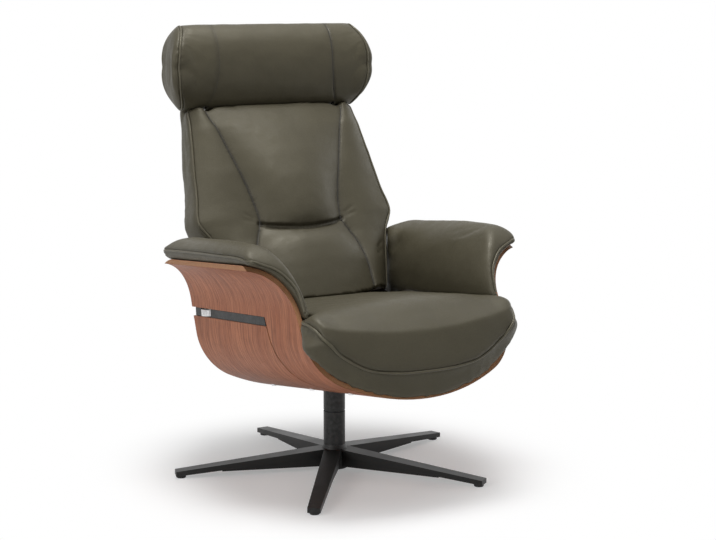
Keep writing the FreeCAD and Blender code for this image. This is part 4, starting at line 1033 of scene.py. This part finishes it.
def leather_material(pebble, wear):
    material, tree, shader, place = new_material("taupe_leather")
    grain = use_group(tree, pebble, Vector=place, Cell=430.0)
    cloudy = noise_at(tree, place, 9.0, 3.0)
    patchy = noise_at(tree, place, 38.0, 3.0)
    seam = node(tree, "ShaderNodeAttribute", attribute_name="seam").outputs["Fac"]
    base = mix_colours(tree, span(tree, cloudy, 0.3, 0.7), (0.055, 0.048, 0.029), (0.068, 0.060, 0.037))
    base = mix_colours(tree, span(tree, patchy, 0.35, 0.75, 0.0, 0.35), base, (0.081, 0.072, 0.046))
    crease = maths(tree, "MULTIPLY", grain.outputs["Crease"], 0.35)
    base = mix_colours(tree, crease, base, (0.034, 0.030, 0.020))
    # Painted shade: the leather's colour is darkened along its seams by the "seam" closeness, where the
    # creases fall in shade.
    base = mix_colours(tree, maths(tree, "MULTIPLY", seam, 0.55), base, (0.022, 0.019, 0.013))
    worn = use_group(tree, wear, Vector=place, Scale=45.0)
    base = mix_colours(tree, maths(tree, "MULTIPLY", worn.outputs["Mask"], 0.25), base, (0.125, 0.113, 0.084))
    wire(tree, base, shader.inputs["Base Color"])
    rough = maths(tree, "ADD", span(tree, patchy, 0.3, 0.7, 0.37, 0.48),
                  maths(tree, "MULTIPLY", grain.outputs["Crease"], 0.15))
    wire(tree, rough, shader.inputs["Roughness"])
    shader.inputs["Specular IOR Level"].default_value = 0.45
    shader.inputs["Specular Tint"].default_value = LEATHER_TINT
    soft = noise_at(tree, place, 55.0, 4.0, 0.6)
    folds = bump(tree, soft, 0.0012, 0.35)
    wire(tree, bump(tree, grain.outputs["Height"], 0.00018, 0.55, folds), shader.inputs["Normal"])
    return material


def welt_material(pebble):
    material, tree, shader, place = new_material("taupe_leather_welt")
    grain = use_group(tree, pebble, Vector=place, Cell=620.0)
    patchy = noise_at(tree, place, 60.0, 3.0)
    base = mix_colours(tree, span(tree, patchy, 0.3, 0.7), (0.074, 0.065, 0.041), (0.090, 0.080, 0.051))
    crease = maths(tree, "MULTIPLY", grain.outputs["Crease"], 0.3)
    base = mix_colours(tree, crease, base, (0.05, 0.045, 0.033))
    wire(tree, base, shader.inputs["Base Color"])
    wire(tree, span(tree, patchy, 0.3, 0.7, 0.36, 0.46), shader.inputs["Roughness"])
    shader.inputs["Specular Tint"].default_value = LEATHER_TINT
    wire(tree, bump(tree, grain.outputs["Height"], 0.00012, 0.5), shader.inputs["Normal"])
    return material


def thread_material():
    material, tree, shader, place = new_material("dark_thread")
    twist = noise_at(tree, place, 900.0, 2.0)
    colour = mix_colours(tree, twist, (0.018, 0.016, 0.012), (0.035, 0.032, 0.025))
    wire(tree, colour, shader.inputs["Base Color"])
    wire(tree, bump(tree, twist, 0.0001, 0.6), shader.inputs["Normal"])
    shader.inputs["Roughness"].default_value = 0.6
    return material


def walnut_material(ply_depth):
    material, tree, shader, place = new_material("walnut_on_plywood")
    shape = use_group(tree, ply_depth, Vector=place)
    depth, around, back = (shape.outputs[n] for n in ("Depth", "Around", "Back"))
    flow = node(tree, "ShaderNodeCombineXYZ")
    wire(tree, maths(tree, "MULTIPLY", around, 0.9), flow.inputs["X"])
    wire(tree, maths(tree, "MULTIPLY", back, 1.0), flow.inputs["Y"])
    sway = noise_at(tree, flow.outputs[0], 3.2, 2.0)
    across = maths(tree, "ADD", back, maths(tree, "MULTIPLY", sway, 0.055))

    def streaks(length, width, detail):
        stretched = node(tree, "ShaderNodeCombineXYZ")
        wire(tree, maths(tree, "MULTIPLY", around, length), stretched.inputs["X"])
        wire(tree, maths(tree, "MULTIPLY", across, width), stretched.inputs["Y"])
        return noise_at(tree, stretched.outputs[0], 1.0, detail, 0.6)

    broad = streaks(2.2, 26.0, 2.0)
    fine = streaks(7.0, 190.0, 3.0)
    pores = streaks(34.0, 950.0, 2.0)
    veneer = mix_colours(tree, span(tree, broad, 0.3, 0.7), (0.385, 0.134, 0.064), (0.500, 0.200, 0.103))
    veneer = mix_colours(tree, span(tree, fine, 0.40, 0.64, 0.0, 0.80), veneer, (0.200, 0.070, 0.036))
    veneer = mix_colours(tree, span(tree, pores, 0.56, 0.70, 0.0, 0.80), veneer, (0.095, 0.034, 0.018))
    layer = maths(tree, "FRACT", maths(tree, "DIVIDE", depth, 2.4))
    core = mix_colours(tree, span(tree, layer, 0.46, 0.54), (0.560, 0.300, 0.150), (0.300, 0.130, 0.060))
    core = mix_colours(tree, span(tree, fine, 0.4, 0.7, 0.0, 0.35), core, (0.33, 0.15, 0.075))
    inner = maths(tree, "MULTIPLY", maths(tree, "GREATER_THAN", depth, 0.75),
                  maths(tree, "LESS_THAN", depth, 11.25))
    wire(tree, mix_colours(tree, inner, veneer, core), shader.inputs["Base Color"])
    rough = span(tree, pores, 0.3, 0.75, 0.42, 0.62)
    wire(tree, rough, shader.inputs["Roughness"])
    shader.inputs["Specular IOR Level"].default_value = 0.25
    height = maths(tree, "ADD", maths(tree, "MULTIPLY", pores, -0.8), maths(tree, "MULTIPLY", fine, -0.4))
    wire(tree, bump(tree, height, 0.00025, 0.35), shader.inputs["Normal"])
    return material


def plywood_material():
    material, tree, shader, place = new_material("raw_plywood")
    parts = node(tree, "ShaderNodeMapping")
    wire(tree, place, parts.inputs["Vector"])
    parts.inputs["Scale"].default_value = (60.0, 4.0, 60.0)
    grain = noise_at(tree, parts.outputs[0], 1.0, 4.0)
    wire(tree, mix_colours(tree, span(tree, grain, 0.35, 0.7), (0.56, 0.40, 0.24), (0.42, 0.28, 0.15)),
         shader.inputs["Base Color"])
    wire(tree, bump(tree, grain, 0.0003, 0.4), shader.inputs["Normal"])
    shader.inputs["Roughness"].default_value = 0.7
    return material


def metal_material(name, low, high, rough_low, rough_high, metallic, wear, worn, grain_scale, depth):
    """Painted or bare metal: fine texture, cloudy roughness and worn edges."""
    material, tree, shader, place = new_material(name)
    cloudy = noise_at(tree, place, 14.0, 3.0)
    grain = noise_at(tree, place, grain_scale, 2.0)
    base = mix_colours(tree, span(tree, cloudy, 0.3, 0.7), low, high)
    mask = use_group(tree, wear, Vector=place, Scale=120.0).outputs["Mask"]
    base = mix_colours(tree, maths(tree, "MULTIPLY", mask, 0.5), base, worn)
    wire(tree, base, shader.inputs["Base Color"])
    wire(tree, span(tree, cloudy, 0.3, 0.7, rough_low, rough_high), shader.inputs["Roughness"])
    shader.inputs["Metallic"].default_value = metallic
    shader.inputs["Specular IOR Level"].default_value = 0.5 if metallic else 0.35
    wire(tree, bump(tree, grain, depth, 0.4), shader.inputs["Normal"])
    return material


def dress_nodes(finishes):
    slots = {part["node"]: part["material_slot"] for part in frame["record"]["subparts"]}
    for name, solid in frame["nodes"].items():
        solid.data.materials.clear()
        solid.data.materials.append(finishes[slots[name]])


# Floor, light and camera

FLOOR_GLOW = 0.27
# Distances from the centre over which the floor turns from its lit near part to plain white: partly the
# lamps' real shadow, partly painted shade round the base.
FLOOR_SHADE_FADE = (0.22, 0.72)
WORLD_LEVEL = 0.17
# Name, place, target, side and power of each soft lamp
LAMPS = [("top", (-0.1, -0.2, 3.4), (0, 0, 0.5), 1.3, 76),
         ("side", (-3.4, -0.9, 1.5), (0, 0, 0.4), 2.0, 38),
         ("fill", (3.4, 0.6, 1.5), (0, 0, 0.4), 2.0, 14)]
CAMERA_PLACE = (-2.0822, -3.7251 + AXIS_Y, 1.2042)
CAMERA_TURN, CAMERA_DIP = math.radians(-30.0), math.radians(9.294)


def stage_floor():
    bpy.ops.mesh.primitive_plane_add(size=14.0, location=(0, 0, 0))
    floor = bpy.context.object
    floor.name = "floor"
    material = bpy.data.materials.new("pale_floor")
    material.use_nodes = True
    tree = material.node_tree
    shader = tree.nodes["Principled BSDF"]
    shader.inputs["Base Color"].default_value = (0.80, 0.80, 0.80, 1)
    shader.inputs["Roughness"].default_value = 0.9
    shader.inputs["Specular IOR Level"].default_value = 0.1
    glow = node(tree, "ShaderNodeEmission")
    seen = seen_rays(tree)
    wire(tree, maths(tree, "MULTIPLY", seen, FLOOR_GLOW), glow.inputs["Strength"])
    both = node(tree, "ShaderNodeAddShader")
    wire(tree, shader.outputs[0], both.inputs[0])
    wire(tree, glow.outputs[0], both.inputs[1])
    white = node(tree, "ShaderNodeEmission")
    place = node(tree, "ShaderNodeTexCoord").outputs["Object"]
    away = node(tree, "ShaderNodeVectorMath", operation="LENGTH")
    wire(tree, place, away.inputs[0])
    # Painted shade: near the base the camera sees the lit floor and further out plain white, so the floor
    # darkens towards the base beyond what its real shadow gives.
    far = span(tree, away.outputs["Value"], *FLOOR_SHADE_FADE)
    far.node.interpolation_type = "SMOOTHERSTEP"
    blend = node(tree, "ShaderNodeMixShader")
    wire(tree, maths(tree, "MULTIPLY", seen, far), blend.inputs[0])
    wire(tree, both.outputs[0], blend.inputs[1])
    wire(tree, white.outputs[0], blend.inputs[2])
    wire(tree, blend.outputs[0], tree.nodes["Material Output"].inputs["Surface"])
    floor.data.materials.append(material)


def stage_world():
    world = bpy.data.worlds.new("studio")
    world.use_nodes = True
    scene.world = world
    tree = world.node_tree
    background = tree.nodes["Background"]
    wire(tree, span(tree, seen_rays(tree), 0.0, 1.0, WORLD_LEVEL, 1.0), background.inputs["Strength"])
    background.inputs["Color"].default_value = (1, 1, 1, 1)


def soft_lamp(name, place, target, side, power):
    lamp = bpy.data.lights.new(name, "AREA")
    lamp.shape = "RECTANGLE"
    lamp.size = lamp.size_y = side
    lamp.energy = power
    holder = bpy.data.objects.new(name, lamp)
    scene.collection.objects.link(holder)
    holder.location = place
    holder.rotation_euler = (Vector(target) - Vector(place)).to_track_quat("-Z", "Y").to_euler()


def camera():
    lens = bpy.data.cameras.new("camera")
    lens.sensor_width = 36.0
    lens.lens = 88.0
    holder = bpy.data.objects.new("camera", lens)
    scene.collection.objects.link(holder)
    holder.location = CAMERA_PLACE
    turn = Matrix.Rotation(CAMERA_TURN, 4, "Z") @ Matrix.Rotation(math.radians(90) - CAMERA_DIP, 4, "X")
    holder.rotation_euler = turn.to_euler()
    scene.camera = holder


scene.view_settings.view_transform = "Standard"

pebble = pebble_group()
wear = edge_wear_group()
ply_depth = ply_depth_group()
leather = leather_material(pebble, wear)
finishes = {
    "leather": leather,
    "walnut_veneer": walnut_material(ply_depth),
    "plain_plywood": plywood_material(),
    "black_metal": metal_material("black_powder_coat", (0.0055, 0.0055, 0.0050), (0.0080, 0.0080, 0.0072),
                                  0.40, 0.50, 0.0, wear, (0.05, 0.05, 0.05), 900.0, 0.00005),
    "chrome": metal_material("polished_chrome", (0.78, 0.78, 0.79), (0.83, 0.83, 0.84),
                             0.06, 0.14, 1.0, wear, (0.9, 0.9, 0.9), 500.0, 0.00002),
    "bright_steel": metal_material("bright_steel", (0.56, 0.56, 0.57), (0.64, 0.64, 0.65),
                                   0.22, 0.34, 1.0, wear, (0.8, 0.8, 0.8), 700.0, 0.00004),
    "turned_aluminium": metal_material("turned_aluminium", (0.46, 0.46, 0.46), (0.54, 0.54, 0.54),
                                       0.26, 0.36, 1.0, wear, (0.9, 0.9, 0.9), 800.0, 0.00004),
    "black_plastic": metal_material("black_plastic", (0.012, 0.012, 0.012), (0.018, 0.018, 0.018),
                                    0.5, 0.6, 0.0, wear, (0.05, 0.05, 0.05), 1100.0, 0.00015),
}
welt_leather = welt_material(pebble)
thread = thread_material()
dress_nodes(finishes)

cushions = [back_cushion(), seat_cushion(), arm_pad("right"), arm_pad("left"), head_roll()]
for cushion in cushions:
    cushion.data.materials.append(leather)
# Pieces whose names hold "_stitch" take the dark thread finish; the crease cords among them are painted shade
# in the seams.
for piece in scene.objects:
    if piece.type == "MESH" and "_welt" in piece.name:
        piece.data.materials.append(welt_leather)
    elif piece.type == "MESH" and "_stitch" in piece.name:
        piece.data.materials.append(thread)

stage_floor()
stage_world()
for lamp in LAMPS:
    soft_lamp(*lamp)
camera()
